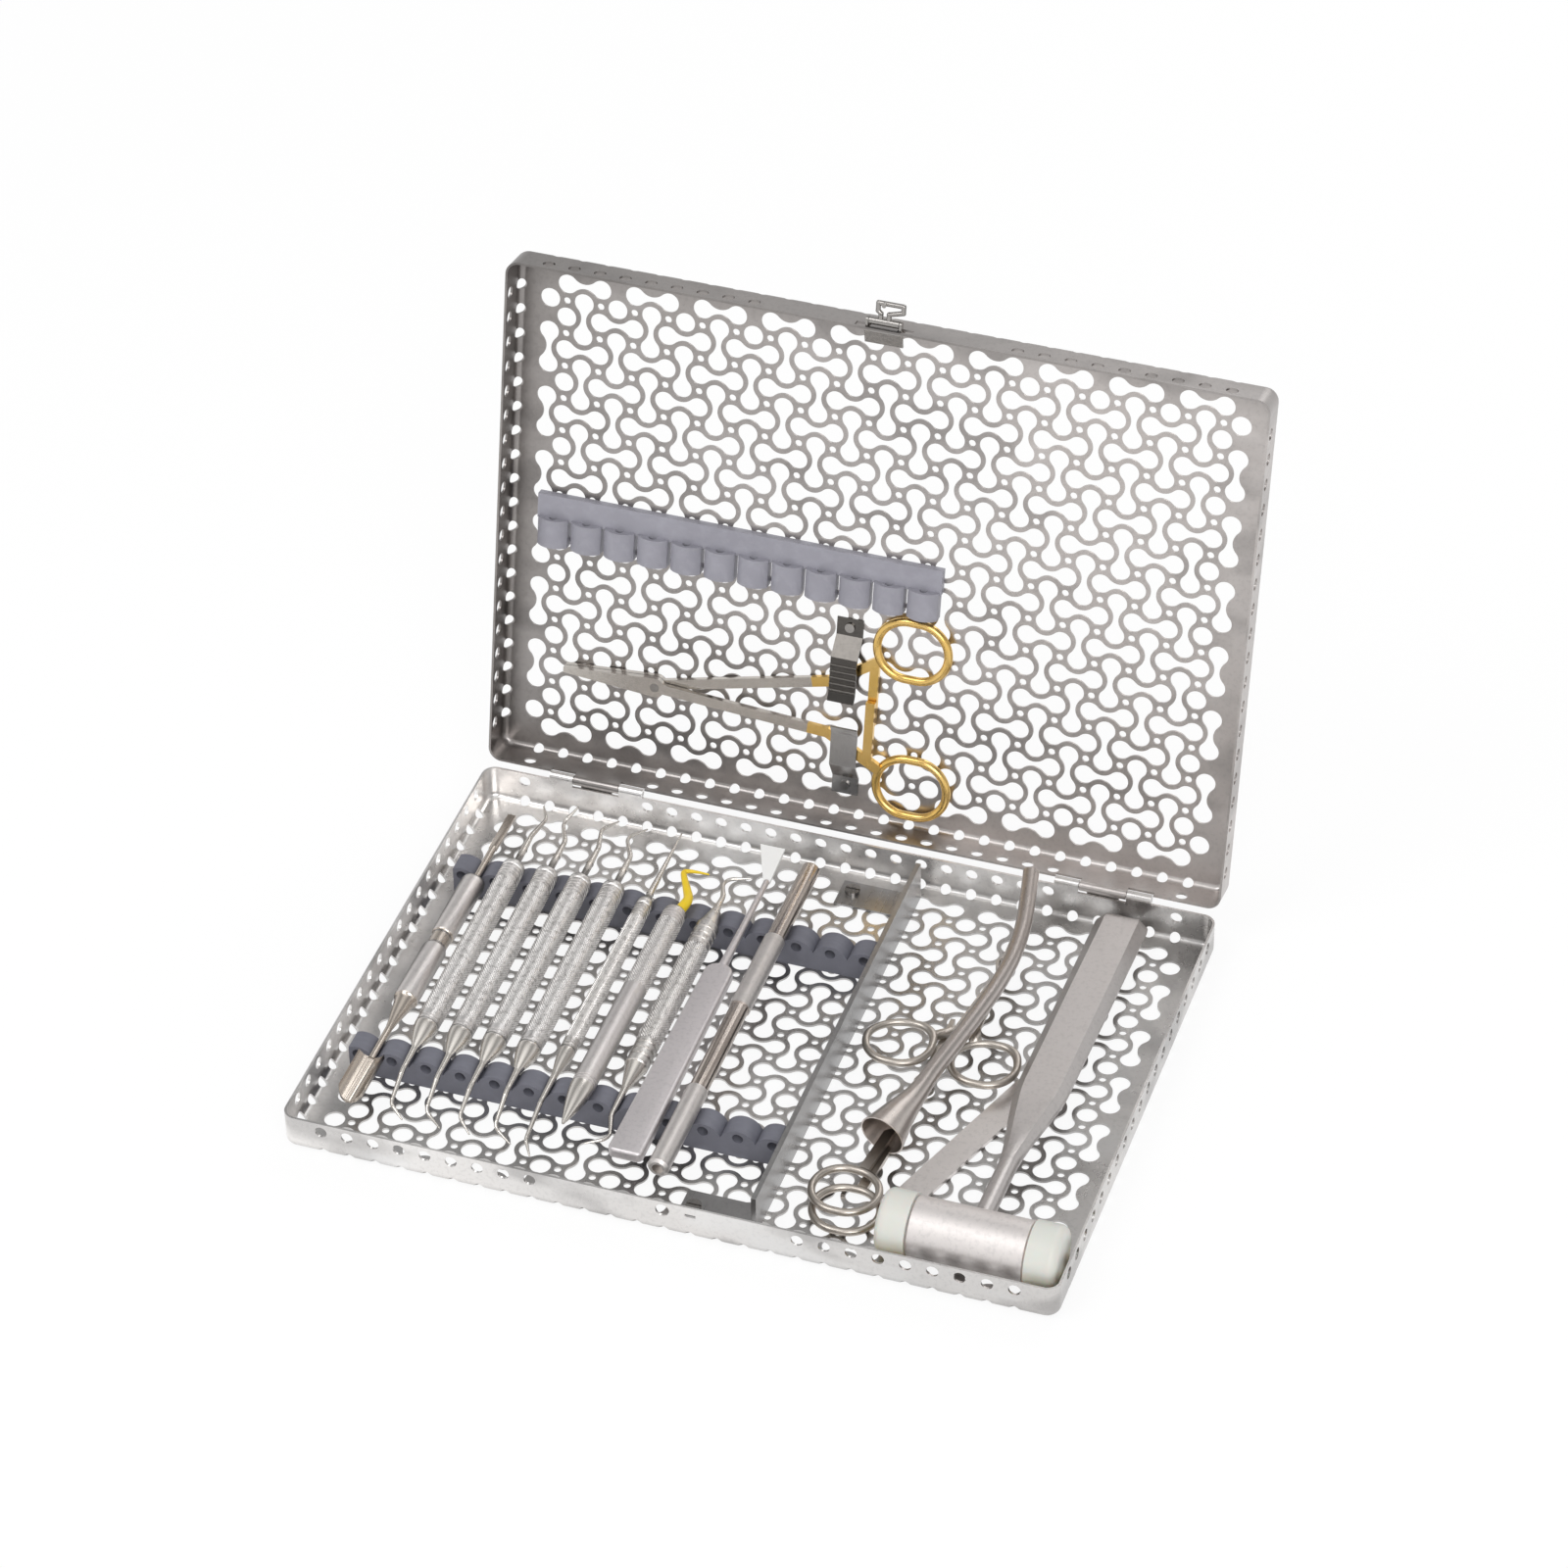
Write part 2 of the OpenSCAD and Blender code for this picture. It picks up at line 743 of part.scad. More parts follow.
// one opening of the lattice, each round end only where it is wanted
module dumbbell(low, high) {
  half = lattice_pitch / 2;
  flat = lobe_r / sqrt(2);
  if (low && high)
    difference() {
      union() {
        for (s = [-1, 1])
          translate([s * half, 0])
            circle(lobe_r);
        square([2 * (half - flat), 2 * flat], center = true);
      }
      for (s = [-1, 1])
        translate([0, s * half])
          circle(lobe_r + lattice_web);
    }
  else
    translate([low ? -half : half, 0])
      circle(lobe_r);
}

// the whole woven field of openings
module lattice() {
  mid_c = (lattice_cols - 1) / 2;
  mid_r = (lattice_rows - 1) / 2;
  for (m = [0 : lattice_cols - 1], n = [0 : lattice_rows - 1])
    translate([(m - mid_c) * lattice_pitch, (n - mid_r) * lattice_pitch])
      if ((m + n) % 2 == 1)
        dumbbell(m > 0, m < lattice_cols - 1);
      else
        rotate(90)
          dumbbell(n > 0, n < lattice_rows - 1);
  for (m = [0 : lattice_cols - 2], n = [0 : lattice_rows - 2])
    translate([(m - mid_c + 0.5) * lattice_pitch, (n - mid_r + 0.5) * lattice_pitch])
      circle(dot_r);
}

// section of floor edge, bend and wall, measured out from the corner centre
module wall_profile(h) {
  run = corner_r - bend_r;
  intersection() {
    difference() {
      union() {
        square([run, bend_r]);
        translate([run, bend_r])
          circle(bend_r);
        translate([run, bend_r])
          square([bend_r, h - bend_r]);
      }
      translate([-over, sheet_t])
        square([run + over, h]);
      translate([run, bend_r])
        circle(bend_r - sheet_t);
      translate([0, bend_r])
        square([corner_r - sheet_t, h]);
    }
    square([corner_r, h]);
  }
}

// pressed tray without holes, floor at z = 0
module tray_blank(h) {
  inner_w = cassette_w - 2 * corner_r;
  inner_d = cassette_d - 2 * corner_r;
  linear_extrude(sheet_t)
    square([inner_w, inner_d], center = true);
  for (a = [0, 180])
    rotate(a) {
      translate([inner_w / 2, inner_d / 2, 0])
        rotate([90, 0, 0])
          linear_extrude(inner_d)
            wall_profile(h);
      translate([-inner_w / 2, inner_d / 2, 0])
        rotate([90, 0, 90])
          linear_extrude(inner_w)
            wall_profile(h);
    }
  for (i = [0 : 3])
    translate([(i == 0 || i == 3 ? 1 : -1) * inner_w / 2, (i < 2 ? 1 : -1) * inner_d / 2, 0])
      rotate(i * 90)
        rotate_extrude(angle = 90)
          wall_profile(h);
}

// hole through the front wall (side -1) or the rear wall (side 1)
module wall_hole_y(x, z, r, side) {
  translate([x, side * (half_d - sheet_t / 2), z])
    rotate([90, 0, 0])
      cylinder(h = 3 * sheet_t, r = r, center = true);
}

// all cuts that both trays share
module tray_cuts(h) {
  hole_z = h - hole_below_rim;
  translate([0, 0, -over])
    linear_extrude(sheet_t + 2 * over)
      lattice();
  for (s = [-1, 1], k = [0 : front_count])
    wall_hole_y(s * (front_first + k * wall_pitch), hole_z, wall_hole_r, -1);
  for (k = [-wall_cols : wall_cols])
    if (abs(abs(k * wall_pitch) - hinge_x) > hinge_plain_half)
      wall_hole_y(k * wall_pitch, hole_z, wall_hole_r, 1);
  for (s = [-1, 1], k = [-wall_rows : wall_rows]) {
    translate([s * (half_w - sheet_t / 2), k * wall_pitch, hole_z])
      rotate([0, 90, 0])
        cylinder(h = 3 * sheet_t, r = wall_hole_r, center = true);
    translate([s * (half_w - bend_r), k * wall_pitch, bend_r])
      rotate([0, s * 135, 0])
        cylinder(h = 2 * bend_r, r = bend_hole_r);
  }
  for (s = [-1, 1], k = [-wall_cols : wall_cols])
    translate([k * wall_pitch, s * (half_d - bend_r), bend_r])
      rotate([-s * 135, 0, 0])
        cylinder(h = 2 * bend_r, r = bend_hole_r);
}

// rolled hinge knuckle with the tab that joins it to its wall
module knuckle(length, tab_z, bore_r) {
  along_x(length)
    difference() {
      union() {
        translate([hinge_y, hinge_z])
          circle(knuckle_r);
        translate([half_d - sheet_t, tab_z])
          square([sheet_t, knuckle_tab]);
      }
      translate([hinge_y, hinge_z])
        circle(bore_r);
    }
}

// notch in a rear wall from x0 to x1 between two heights
module wall_notch(x0, x1, z0, z1) {
  translate([x0, half_d - 2 * sheet_t, z0])
    cube([x1 - x0, 3 * sheet_t, z1 - z0]);
}

module base_tray() {
  knuckle_len = hinge_len / 2 - base_knuckle_start;
  color("silver") {
    difference() {
      tray_blank(base_h);
      tray_cuts(base_h);
      for (s = [-1, 1])
        wall_notch(s * hinge_x - base_knuckle_start, s * hinge_x + base_knuckle_start,
          hinge_z - knuckle_r - knuckle_relief, base_h + over);
      wall_hole_y(0, base_h - hole_below_rim, latch_hole_r, -1);
      translate([slot_mark_x, -half_d + sheet_t / 2, base_h - hole_below_rim])
        cube([slot_mark_len, 3 * sheet_t, slot_mark_h], center = true);
    }
    for (s = [-1, 1], t = [-1, 1])
      translate([s * hinge_x + t * (base_knuckle_start + knuckle_len / 2), 0, 0])
        knuckle(knuckle_len, hinge_z - knuckle_tab, hinge_pin_r);
  }
}

module hinge_pins() {
  color("gray")
    for (s = [-1, 1])
      translate([s * hinge_x, hinge_y, hinge_z])
        rotate([0, 90, 0])
          cylinder(h = hinge_len, r = hinge_pin_r, center = true);
}

module lid_tray() {
  color("silver")
    swing_lid() {
      difference() {
        translate([0, 0, top_z])
          mirror([0, 0, 1])
            difference() {
              tray_blank(lid_h);
              tray_cuts(lid_h);
            }
        for (s = [-1, 1], t = [-1, 1])
          translate([s * hinge_x + t * (lid_knuckle_len / 2 + hinge_len / 2 + knuckle_gap) / 2, 0, 0])
            wall_notch(-(hinge_len / 2 + knuckle_gap - lid_knuckle_len / 2) / 2,
              (hinge_len / 2 + knuckle_gap - lid_knuckle_len / 2) / 2,
              lid_rim_z - over, hinge_z + knuckle_r + knuckle_relief);
        for (s = [-1, 1])
          translate([s * (window_start + window_end) / 2, -half_d + sheet_t / 2, latch_z])
            cube([window_end - window_start, 3 * sheet_t, 2 * window_half], center = true);
      }
      for (s = [-1, 1])
        translate([s * hinge_x, 0, 0]) {
          knuckle(lid_knuckle_len, hinge_z, hinge_pin_r + hinge_play);
          swing_back()
            translate([-stop_w / 2, half_d + stop_gap, hinge_z - stop_reach])
              cube([stop_w, sheet_t, stop_reach - hinge_pin_r - hinge_play - sheet_t / 4]);
        }
    }
}

// places of the rail studs: inside lattice openings under the rails
rail_stud_x = [-9 * lattice_pitch, -4 * lattice_pitch, lattice_pitch];
rear_stud_y = rear_rail_y - rail_depth / 4;
front_stud_y = front_rail_y - rail_depth / 4;
lid_stud_x = [-8.5 * lattice_pitch, -3.5 * lattice_pitch, 1.5 * lattice_pitch];
lid_stud_y = -1;

// stud with its head in the sheet and its shank in the silicone
module stud() {
  translate([0, 0, stud_clear])
    cylinder(h = sheet_t - stud_clear, r = stud_head_r);
  translate([0, 0, sheet_t])
    cylinder(h = stud_depth, r = stud_shank_r);
}

// pocket that takes the shank of a stud
module stud_pocket() {
  cylinder(h = sheet_t + stud_depth, r = stud_shank_r);
}

// row of domes that carries the instruments
module base_rail(middle_y, stud_y) {
  difference() {
    translate([0, middle_y + rail_depth / 2, 0])
      rotate([90, 0, 0])
        linear_extrude(rail_depth)
          difference() {
            union() {
              translate([rail_left, sheet_t])
                square([rail_right - rail_left, dome_z - sheet_t]);
              intersection() {
                union() {
                  for (i = [0 : rail_places])
                    translate([place_x(i) - rail_pitch / 2, dome_z])
                      circle(dome_r);
                }
                translate([rail_left, sheet_t])
                  square([rail_right - rail_left, dome_top]);
              }
            }
            for (i = [0 : rail_places])
              translate([place_x(i) - rail_pitch / 2, dome_hole_z])
                circle(dome_hole_r);
          }
    for (x = rail_stud_x)
      translate([x, stud_y, 0])
        stud_pocket();
  }
}

module front_rail() {
  color("slategray")
    base_rail(front_rail_y, front_stud_y);
}

module rear_rail() {
  color("slategray")
    base_rail(rear_rail_y, rear_stud_y);
}

module rail_studs() {
  color("gray")
    for (x = rail_stud_x, y = [front_stud_y, rear_stud_y])
      translate([x, y, 0])
        stud();
}

module divider() {
  left = divider_x - divider_t;
  color("silver")
    difference() {
      union() {
        translate([left, -divider_half, sheet_t])
          cube([divider_t, 2 * divider_half, divider_top - sheet_t]);
        for (y = [-divider_half, divider_half - foot_w])
          translate([divider_x - foot_len, y, sheet_t])
            cube([foot_len, foot_w, sheet_t]);
      }
      for (s = [-1, 1])
        translate([divider_x - foot_screw_in, s * foot_screw_y, 0])
          cylinder(h = 3 * sheet_t, r = screw_shank_r);
    }
}

module divider_screws() {
  head_z = 2 * sheet_t;
  color("gray")
    for (s = [-1, 1])
      translate([divider_x - foot_screw_in, s * foot_screw_y, 0]) {
        translate([0, 0, stud_clear])
          cylinder(h = head_z - stud_clear, r = screw_shank_r);
        difference() {
          translate([0, 0, head_z])
            cylinder(h = screw_head_h, r = screw_head_r);
          translate([0, 0, head_z + screw_head_h])
            cube([2 * screw_head_r + over, screw_slot_w, 2 * screw_slot_d], center = true);
        }
      }
}

// soft strip in the lid that keeps the handles down
module lid_rail() {
  half = (rail_pitch - pad_slit) / 2;
  pad_end = lid_band_front + lid_band_w + pad_len;
  color("lightslategray")
    swing_lid()
      difference() {
        union() {
          translate([lid_rail_left, lid_band_front, plate_z - lid_band_t])
            cube([rail_places * rail_pitch, lid_band_w, lid_band_t]);
          translate([0, pad_end, plate_z])
            rotate([90, 0, 0])
              linear_extrude(pad_len + over)
                for (i = [0 : rail_places - 1])
                  translate([lid_rail_left + (i + 0.5) * rail_pitch, 0])
                    difference() {
                      intersection() {
                        translate([0, pad_r - pad_h])
                          circle(pad_r);
                        translate([-half, -pad_h])
                          square([2 * half, pad_h]);
                      }
                      translate([0, -lid_band_t - pad_hole_r / 2])
                        circle(pad_hole_r);
                    }
        }
        for (x = lid_stud_x)
          translate([x, lid_stud_y, top_z])
            mirror([0, 0, 1])
              stud_pocket();
      }
}

module lid_rail_studs() {
  color("gray")
    swing_lid()
      for (x = lid_stud_x)
        translate([x, lid_stud_y, top_z])
          mirror([0, 0, 1])
            stud();
}

// spring clip: riveted foot, rise, flat run under the shank and a lip; dir is its way along Y
module clip(x, foot_y, end_y, dir) {
  foot_z = plate_z - clip_t / 2;
  knee = foot_y + dir * clip_foot;
  color("dimgray")
    swing_lid()
      translate([x, 0, 0])
        along_x(clip_w)
          strip_path([
            [foot_y, foot_z],
            [knee, foot_z],
            [knee + dir * clip_rise, clip_z],
            [end_y - dir * clip_lip, clip_z],
            [end_y, clip_z - clip_lip / 2]
          ], clip_t);
}

module clip_upper() {
  clip(clip_upper_x, clip_upper_y, clip_upper_end, 1);
}

module clip_lower() {
  clip(clip_lower_x, clip_lower_y, clip_lower_end, -1);
}

module rivets() {
  foot_mid = clip_foot / 2;
  wall_in = -half_d + sheet_t + bracket_t;
  color("gray")
    swing_lid() {
      for (p = [[clip_upper_x, clip_upper_y + foot_mid], [clip_lower_x, clip_lower_y - foot_mid]])
        translate([p[0], p[1], plate_z - clip_t - rivet_h])
          cylinder(h = rivet_h, r = rivet_r);
      for (s = [-1, 1])
        translate([s * bracket_half / 2, wall_in, latch_z + bracket_up - rivet_r / 2])
          rod(rivet_h, rivet_r, rivet_r);
    }
}

// bracket inside the front wall of the lid, its ears reach out through the windows
module latch_bracket() {
  wall_in = -half_d + sheet_t;
  ear_x = latch_knuckle_half + latch_side_gap;
  flange_z = latch_z - ear_half;
  color("gray")
    swing_lid() {
      translate([-bracket_half, wall_in, flange_z])
        cube([2 * bracket_half, bracket_t, bracket_up + 2 * ear_half]);
      along_x(2 * bracket_half)
        translate([wall_in + bracket_t / 2, flange_z + bracket_t / 2])
          rotate(bracket_slope)
            translate([0, -bracket_t / 2])
              square([bracket_depth, bracket_t]);
      for (s = [-1, 1])
        translate([s * (ear_x + bracket_t / 2), 0, 0])
          along_x(bracket_t)
            difference() {
              union() {
                translate([latch_y, latch_z])
                  circle(ear_half);
                translate([latch_y, flange_z])
                  square([wall_in - latch_y + bracket_t / 2, 2 * ear_half]);
              }
              translate([latch_y, latch_z])
                circle(latch_pin_r);
            }
    }
}

module latch_pin() {
  half = latch_knuckle_half + latch_side_gap + bracket_t;
  color("gray")
    swing_lid()
      translate([-half, latch_y, latch_z])
        rotate([0, 90, 0])
          cylinder(h = 2 * half, r = latch_pin_r);
}

// wire between two points of the latch plane
module loop_wire(a, b) {
  d = b - a;
  translate([a[0], a[1], 0])
    rotate([0, 0, atan2(d[1], d[0]) - 90])
      wire(norm(d), loop_wire_r, loop_wire_r);
}

module latch_loop() {
  root = latch_pin_r + latch_play + loop_wire_r / 4;
  points = [
    [-loop_neck_half, -loop_shoulder],
    [-loop_left, -loop_shoulder - loop_wire_r],
    [-loop_left, -loop_reach],
    [loop_right, -loop_reach],
    [loop_right, -loop_corner],
    [loop_neck_half, -loop_shoulder]
  ];
  color("gray")
    swing_lid()
      translate([0, latch_y, latch_z]) {
        rotate([0, 90, 0])
          difference() {
            cylinder(h = 2 * latch_knuckle_half, r = latch_knuckle_r, center = true);
            cylinder(h = 3 * latch_knuckle_half, r = latch_pin_r + latch_play, center = true);
          }
        for (i = [0 : len(points) - 2])
          loop_wire(points[i], points[i + 1]);
        for (s = [-1, 1])
          translate([s * loop_neck_half, -loop_shoulder, 0])
            wire(loop_shoulder - root, loop_wire_r, loop_wire_r);
        translate([0, -loop_reach, -nose_len])
          cylinder(h = nose_len, r = nose_r);
      }
}

// direction and length of a needle holder shank from the pivot to its turn
function holder_shank(turn_y) = [shank_turn_x - holder_x, turn_y - holder_y];

// one half of the needle holder: jaw, box joint and shank up to the gold part
module holder_arm(turn_y, level) {
  shank = holder_shank(turn_y);
  cut = (bow_start_x - holder_x) / shank[0];
  color("silver")
    swing_lid()
      translate([holder_x, holder_y, level])
        difference() {
          linear_extrude(half_t) {
            circle(holder_jaw_w / 2);
            polygon([
              [0, -holder_jaw_w / 2],
              [0, holder_jaw_w / 2],
              [-holder_jaw, holder_tip_w / 2],
              [-holder_jaw, -holder_tip_w / 2]
            ]);
            strip([0, 0], shank * cut, holder_w);
          }
          translate([0, 0, -over])
            cylinder(h = half_t + 2 * over, r = holder_screw_r);
        }
}

// finger ring of round wire, stretched along X
module ring(radius, wire_r, stretch) {
  for (s = [-1, 1]) {
    translate([s * stretch / 2, 0, 0])
      rotate([0, 0, s * 90 - 180])
        rotate_extrude(angle = 180)
          translate([radius, 0])
            circle(wire_r);
    translate([-stretch / 2, s * radius, 0])
      rotate([0, 90, 0])
        cylinder(h = stretch, r = wire_r);
  }
}

// the gold part of one half: end of the shank, finger ring and ratchet bar
module holder_bow(turn_y, ring_x, ring_y, level, bar_end) {
  shank = holder_shank(turn_y);
  start = [holder_x, holder_y] + shank * ((bow_start_x - holder_x) / shank[0]);
  turn = [shank_turn_x, turn_y];
  eye = [ring_x - bow_stretch / 2, ring_y];
  join = eye + (turn - eye) * (bow_r / norm(turn - eye));
  bar_mid = ratchet_x + ratchet_w / 2;
  bar_y = turn_y + (join[1] - turn_y) * (bar_mid - turn[0]) / (join[0] - turn[0]);
  color("goldenrod")
    swing_lid() {
      translate([0, 0, level])
        linear_extrude(half_t) {
          strip_path([start, turn, join], holder_w);
          translate([ratchet_x, min(bar_y, bar_end)])
            square([ratchet_w, abs(bar_y - bar_end)]);
        }
      translate([ring_x, ring_y, holder_z - holder_t / 2])
        ring(bow_r, bow_wire_r, bow_stretch);
    }
}

module holder_arm_a() {
  holder_arm(shank_a_y, holder_z - half_t);
}

module holder_arm_b() {
  holder_arm(shank_b_y, holder_z - holder_t);
}

module holder_bow_a() {
  holder_bow(shank_a_y, bow_a_x, bow_a_y, holder_z - half_t, ratchet_mid_y + ratchet_lap / 2);
}

module holder_bow_b() {
  holder_bow(shank_b_y, bow_b_x, bow_b_y, holder_z - holder_t, ratchet_mid_y - ratchet_lap / 2);
}

module holder_screw() {
  color("gray")
    swing_lid()
      translate([holder_x, holder_y, holder_z - holder_t])
        cylinder(h = holder_t, r = holder_screw_r - holder_play);
}

// lays an instrument on both rails: axis height over the rear and over the front rail
module lay(i, z_rear, z_front) {
  translate([place_x(i), rear_rail_y, z_rear])
    rotate([tilt_for(z_rear, z_front), 0, 0])
      translate([0, -rear_rail_y, 0])
        children();
}

// grip grooves as points of a handle outline, from length y0 on
function grooves(r, y0, count) = [
  for (k = [0 : count - 1], p = [[r, 0], [r - groove_d, 0], [r - groove_d, groove_w], [r, groove_w]])
    [p[0], y0 + k * groove_pitch + p[1]]
];

// round handle with cones at both ends and two fields of grip grooves
module grip(r, y0, y1, front_cone, rear_cone, count) {
  lathe_y(concat(
    [[0, y0 - front_cone], [shank_r, y0 - front_cone], [r - groove_d, y0], [r, y0 + groove_d]],
    grooves(r, y0 + groove_pitch, count),
    grooves(r, y1 - (count + 0.5) * groove_pitch, count),
    [[r, y1 - groove_d], [r - groove_d, y1], [shank_r, y1 + rear_cone], [0, y1 + rear_cone]]
  ));
}

// turns what follows to run towards the front
module to_front(y) {
  translate([0, y, 0])
    rotate([0, 0, 180])
      children();
}

// shank that bends twice and ends in a fine curved blade: lengths, rolls and bends in order
module hooked_end(first, roll_1, bend_1, second, roll_2, bend_2) {
  wire(first, shank_r, neck_end_r)
    roll(roll_1)
      curve(neck_end_r, shank_bend_r, bend_1)
        wire(second, neck_end_r, tip_r)
          roll(roll_2)
            curve(tip_r, blade_bend_r, bend_2)
              wire(blade_len, tip_r, point_r);
}

// thick curette: handle on the rear rail, front cone on the front rail
module curette(i, front, rear) {
  color("silver")
    lay(i, rest_height(thick_r), rest_height(front_rest_r)) {
      grip(thick_r, thick_front, thick_rear, cone_len, cone_len, 4);
      to_front(thick_front - cone_len)
        hooked_end(front[0], front[1], front[2], front[3], front[4], front[5]);
      translate([0, thick_rear + cone_len, 0])
        hooked_end(rear[0], rear[1], rear[2], rear[3], rear[4], rear[5]);
    }
}

module curette_1() {
  curette(1, [10, 90, 22, 10, 90, 50], [7, 0, 12, 8, 180, 40]);
}

module curette_2() {
  curette(2, [9, 90, 24, 10, 75, 55], [7, 180, 25, 6, 150, 60]);
}

module curette_3() {
  curette(3, [11, 90, 20, 9, 80, 45], [8, 180, 14, 7, 180, 50]);
}

module curette_4() {
  curette(4, [9, 90, 24, 10, 70, 60], [6, 180, 28, 6, 180, 70]);
}

module fine_probe() {
  color("silver")
    lay(5, rest_height(rear_rest_r), rest_shank_z) {
      grip(slim_r, short_front, short_rear, cone_len, cone_len, 3);
      to_front(short_front - cone_len)
        hooked_end(needle_front, 90, 14, needle_front, 90, 30);
      translate([0, short_rear + cone_len, 0])
        rod(needle_len, shank_r, point_r);
    }
}

module scaler() {
  color("silver")
    lay(7, rest_height(rear_rest_r), rest_shank_z) {
      grip(thick_r, short_front, short_rear, cone_len, cone_len, 4);
      to_front(short_front - cone_len)
        hooked_end(13, 180, 18, 7, 180, 75);
      translate([0, short_rear + cone_len, 0])
        hooked_end(5, 180, 20, 4, 180, 90);
    }
}

module elevator() {
  spoon_y = elevator_front - elevator_cone - elevator_neck + over;
  shank_y = elevator_rear + elevator_tail;
  color("silver")
    translate([place_x(0), 0, rest_shank_z]) {
      grip(slim_r, elevator_front, elevator_rear, elevator_cone, elevator_tail, 3);
      to_front(elevator_front - elevator_cone)
        rod(elevator_neck, shank_r, shank_r);
      translate([0, shank_y, 0])
        rod(elevator_shank, shank_r, shank_r);
      translate([-elevator_blade_w / 2, shank_y + elevator_shank - over, -elevator_blade_t / 2])
        cube([elevator_blade_w, elevator_blade_len, elevator_blade_t]);
      intersection() {
        translate([0, spoon_y, spoon_r - shank_r])
          rotate([90, 0, 0])
            difference() {
              cylinder(h = spoon_len, r = spoon_r);
              translate([0, 0, -over])
                cylinder(h = spoon_len + 2 * over, r = spoon_r - spoon_wall);
            }
        translate([0, spoon_y, -2 * shank_r])
          linear_extrude(spoon_r) {
            translate([0, spoon_w / 2 - spoon_len])
              circle(spoon_w / 2);
            translate([-spoon_w / 2, spoon_w / 2 - spoon_len])
              square([spoon_w, spoon_len - spoon_w / 2]);
          }
      }
    }
}

module probe_handle() {
  r = thick_r;
  color("silver")
    lay(6, rest_height(r), rest_height(r))
      lathe_y([
        [0, probe_front - probe_cone],
        [point_r, probe_front - probe_cone],
        [tip_root_r, probe_front - probe_cone + over],
        [r, probe_front],
        [r, probe_rear - probe_collar - over],
        [r - collar_d, probe_rear - probe_collar - over],
        [r - collar_d, probe_rear - over],
        [r, probe_rear - over],
        [r - collar_d, probe_rear],
        [0, probe_rear]
      ]);
}

module probe_tip() {
  color("gold")
    lay(6, rest_height(thick_r), rest_height(thick_r))
      translate([0, probe_rear, 0])
        rod(tip_bend_r, tip_root_r, tip_root_r)
          roll(180)
            curve(tip_root_r, tip_bend_r, tip_lean)
              wire(tip_run, tip_root_r, tip_r)
                roll(180)
                  curve(tip_r, tip_bend_r, tip_knee)
                    wire(tip_hook, tip_r, tip_end_r);
}

module chisel_handle() {
  b = flat_bevel;
  color("silver")
    translate([place_x(8), 0, 0]) {
      intersection() {
        translate([0, flat_rear + over, 0])
          rotate([90, 0, 0])
            linear_extrude(flat_rear - flat_front + 2 * over)
              polygon([
                [-flat_front_w / 2, flat_z + b], [-flat_front_w / 2 + b, flat_z],
                [flat_front_w / 2 - b, flat_z], [flat_front_w / 2, flat_z + b],
                [flat_front_w / 2, flat_z + flat_t - b], [flat_front_w / 2 - b, flat_z + flat_t],
                [-flat_front_w / 2 + b, flat_z + flat_t], [-flat_front_w / 2, flat_z + flat_t - b]
              ]);
        linear_extrude(2 * flat_z)
          union() {
            polygon([
              [-flat_front_w / 2, flat_front + flat_front_w / 2],
              [flat_front_w / 2, flat_front + flat_front_w / 2],
              [flat_rear_w / 2, flat_rear - b],
              [flat_neck_w / 2, flat_rear],
              [-flat_neck_w / 2, flat_rear],
              [-flat_rear_w / 2, flat_rear - b]
            ]);
            translate([0, flat_front + flat_front_w / 2])
              circle(flat_front_w / 2);
          }
      }
      translate([0, 0, flat_z + flat_t / 4])
        linear_extrude(flat_t / 2)
          polygon([
            [-flat_neck_w / 2, flat_rear - b],
            [flat_neck_w / 2, flat_rear - b],
            [flare_rod_r, flat_neck_end],
            [-flare_rod_r, flat_neck_end]
          ]);
      translate([0, flat_neck_end - b, flat_z + flat_t / 2])
        rod(flare_y - flat_neck_end + b, flare_rod_r, flare_rod_r);
    }
}

module chisel_blade() {
  color("white")
    translate([place_x(8), flare_y, flat_z + (flat_t - flare_t) / 2])
      linear_extrude(flare_t)
        polygon([
          [-flare_root_w / 2, 0],
          [flare_root_w / 2, 0],
          [flare_w / 2 - flare_shift, flare_len],
          [-flare_w / 2 - flare_shift, flare_len]
        ]);
}

module bar_core() {
  y = [bar_front, bar_sleeve_front, bar_sleeve_start, bar_sleeve_end, bar_rear];
  color("silver")
    lay(9, rest_height(bar_r), rest_height(bar_r))
      lathe_y([
        [0, y[0]], [bar_inner_r, y[0]], [bar_inner_r, y[1]],
        [bar_slim_r, y[1]], [bar_slim_r, y[2]],
        [bar_inner_r, y[2]], [bar_inner_r, y[3]],
        [bar_slim_r, y[3]], [bar_slim_r, y[4] - over], [bar_slim_r - over, y[4]], [0, y[4]]
      ]);
}

module bar_sleeves() {
  color("gainsboro")
    lay(9, rest_height(bar_r), rest_height(bar_r)) {
      lathe_y([
        [bar_inner_r, bar_front], [bar_r - over, bar_front], [bar_r, bar_front + over],
        [bar_r, bar_sleeve_front], [bar_inner_r, bar_sleeve_front]
      ]);
      lathe_y([
        [bar_inner_r, bar_sleeve_start], [bar_r, bar_sleeve_start],
        [bar_r, bar_sleeve_end], [bar_inner_r, bar_sleeve_end]
      ]);
    }
}

module retractor() {
  run = retractor_len - retractor_w;
  color("silver")
    translate([retractor_x, retractor_y, sheet_t + rest_gap])
      rotate([0, 0, retractor_dir])
        linear_extrude(retractor_t) {
          for (x = [0, run])
            translate([x, 0])
              circle(retractor_w / 2);
          translate([0, -retractor_w / 2])
            square([run, retractor_w]);
        }
}

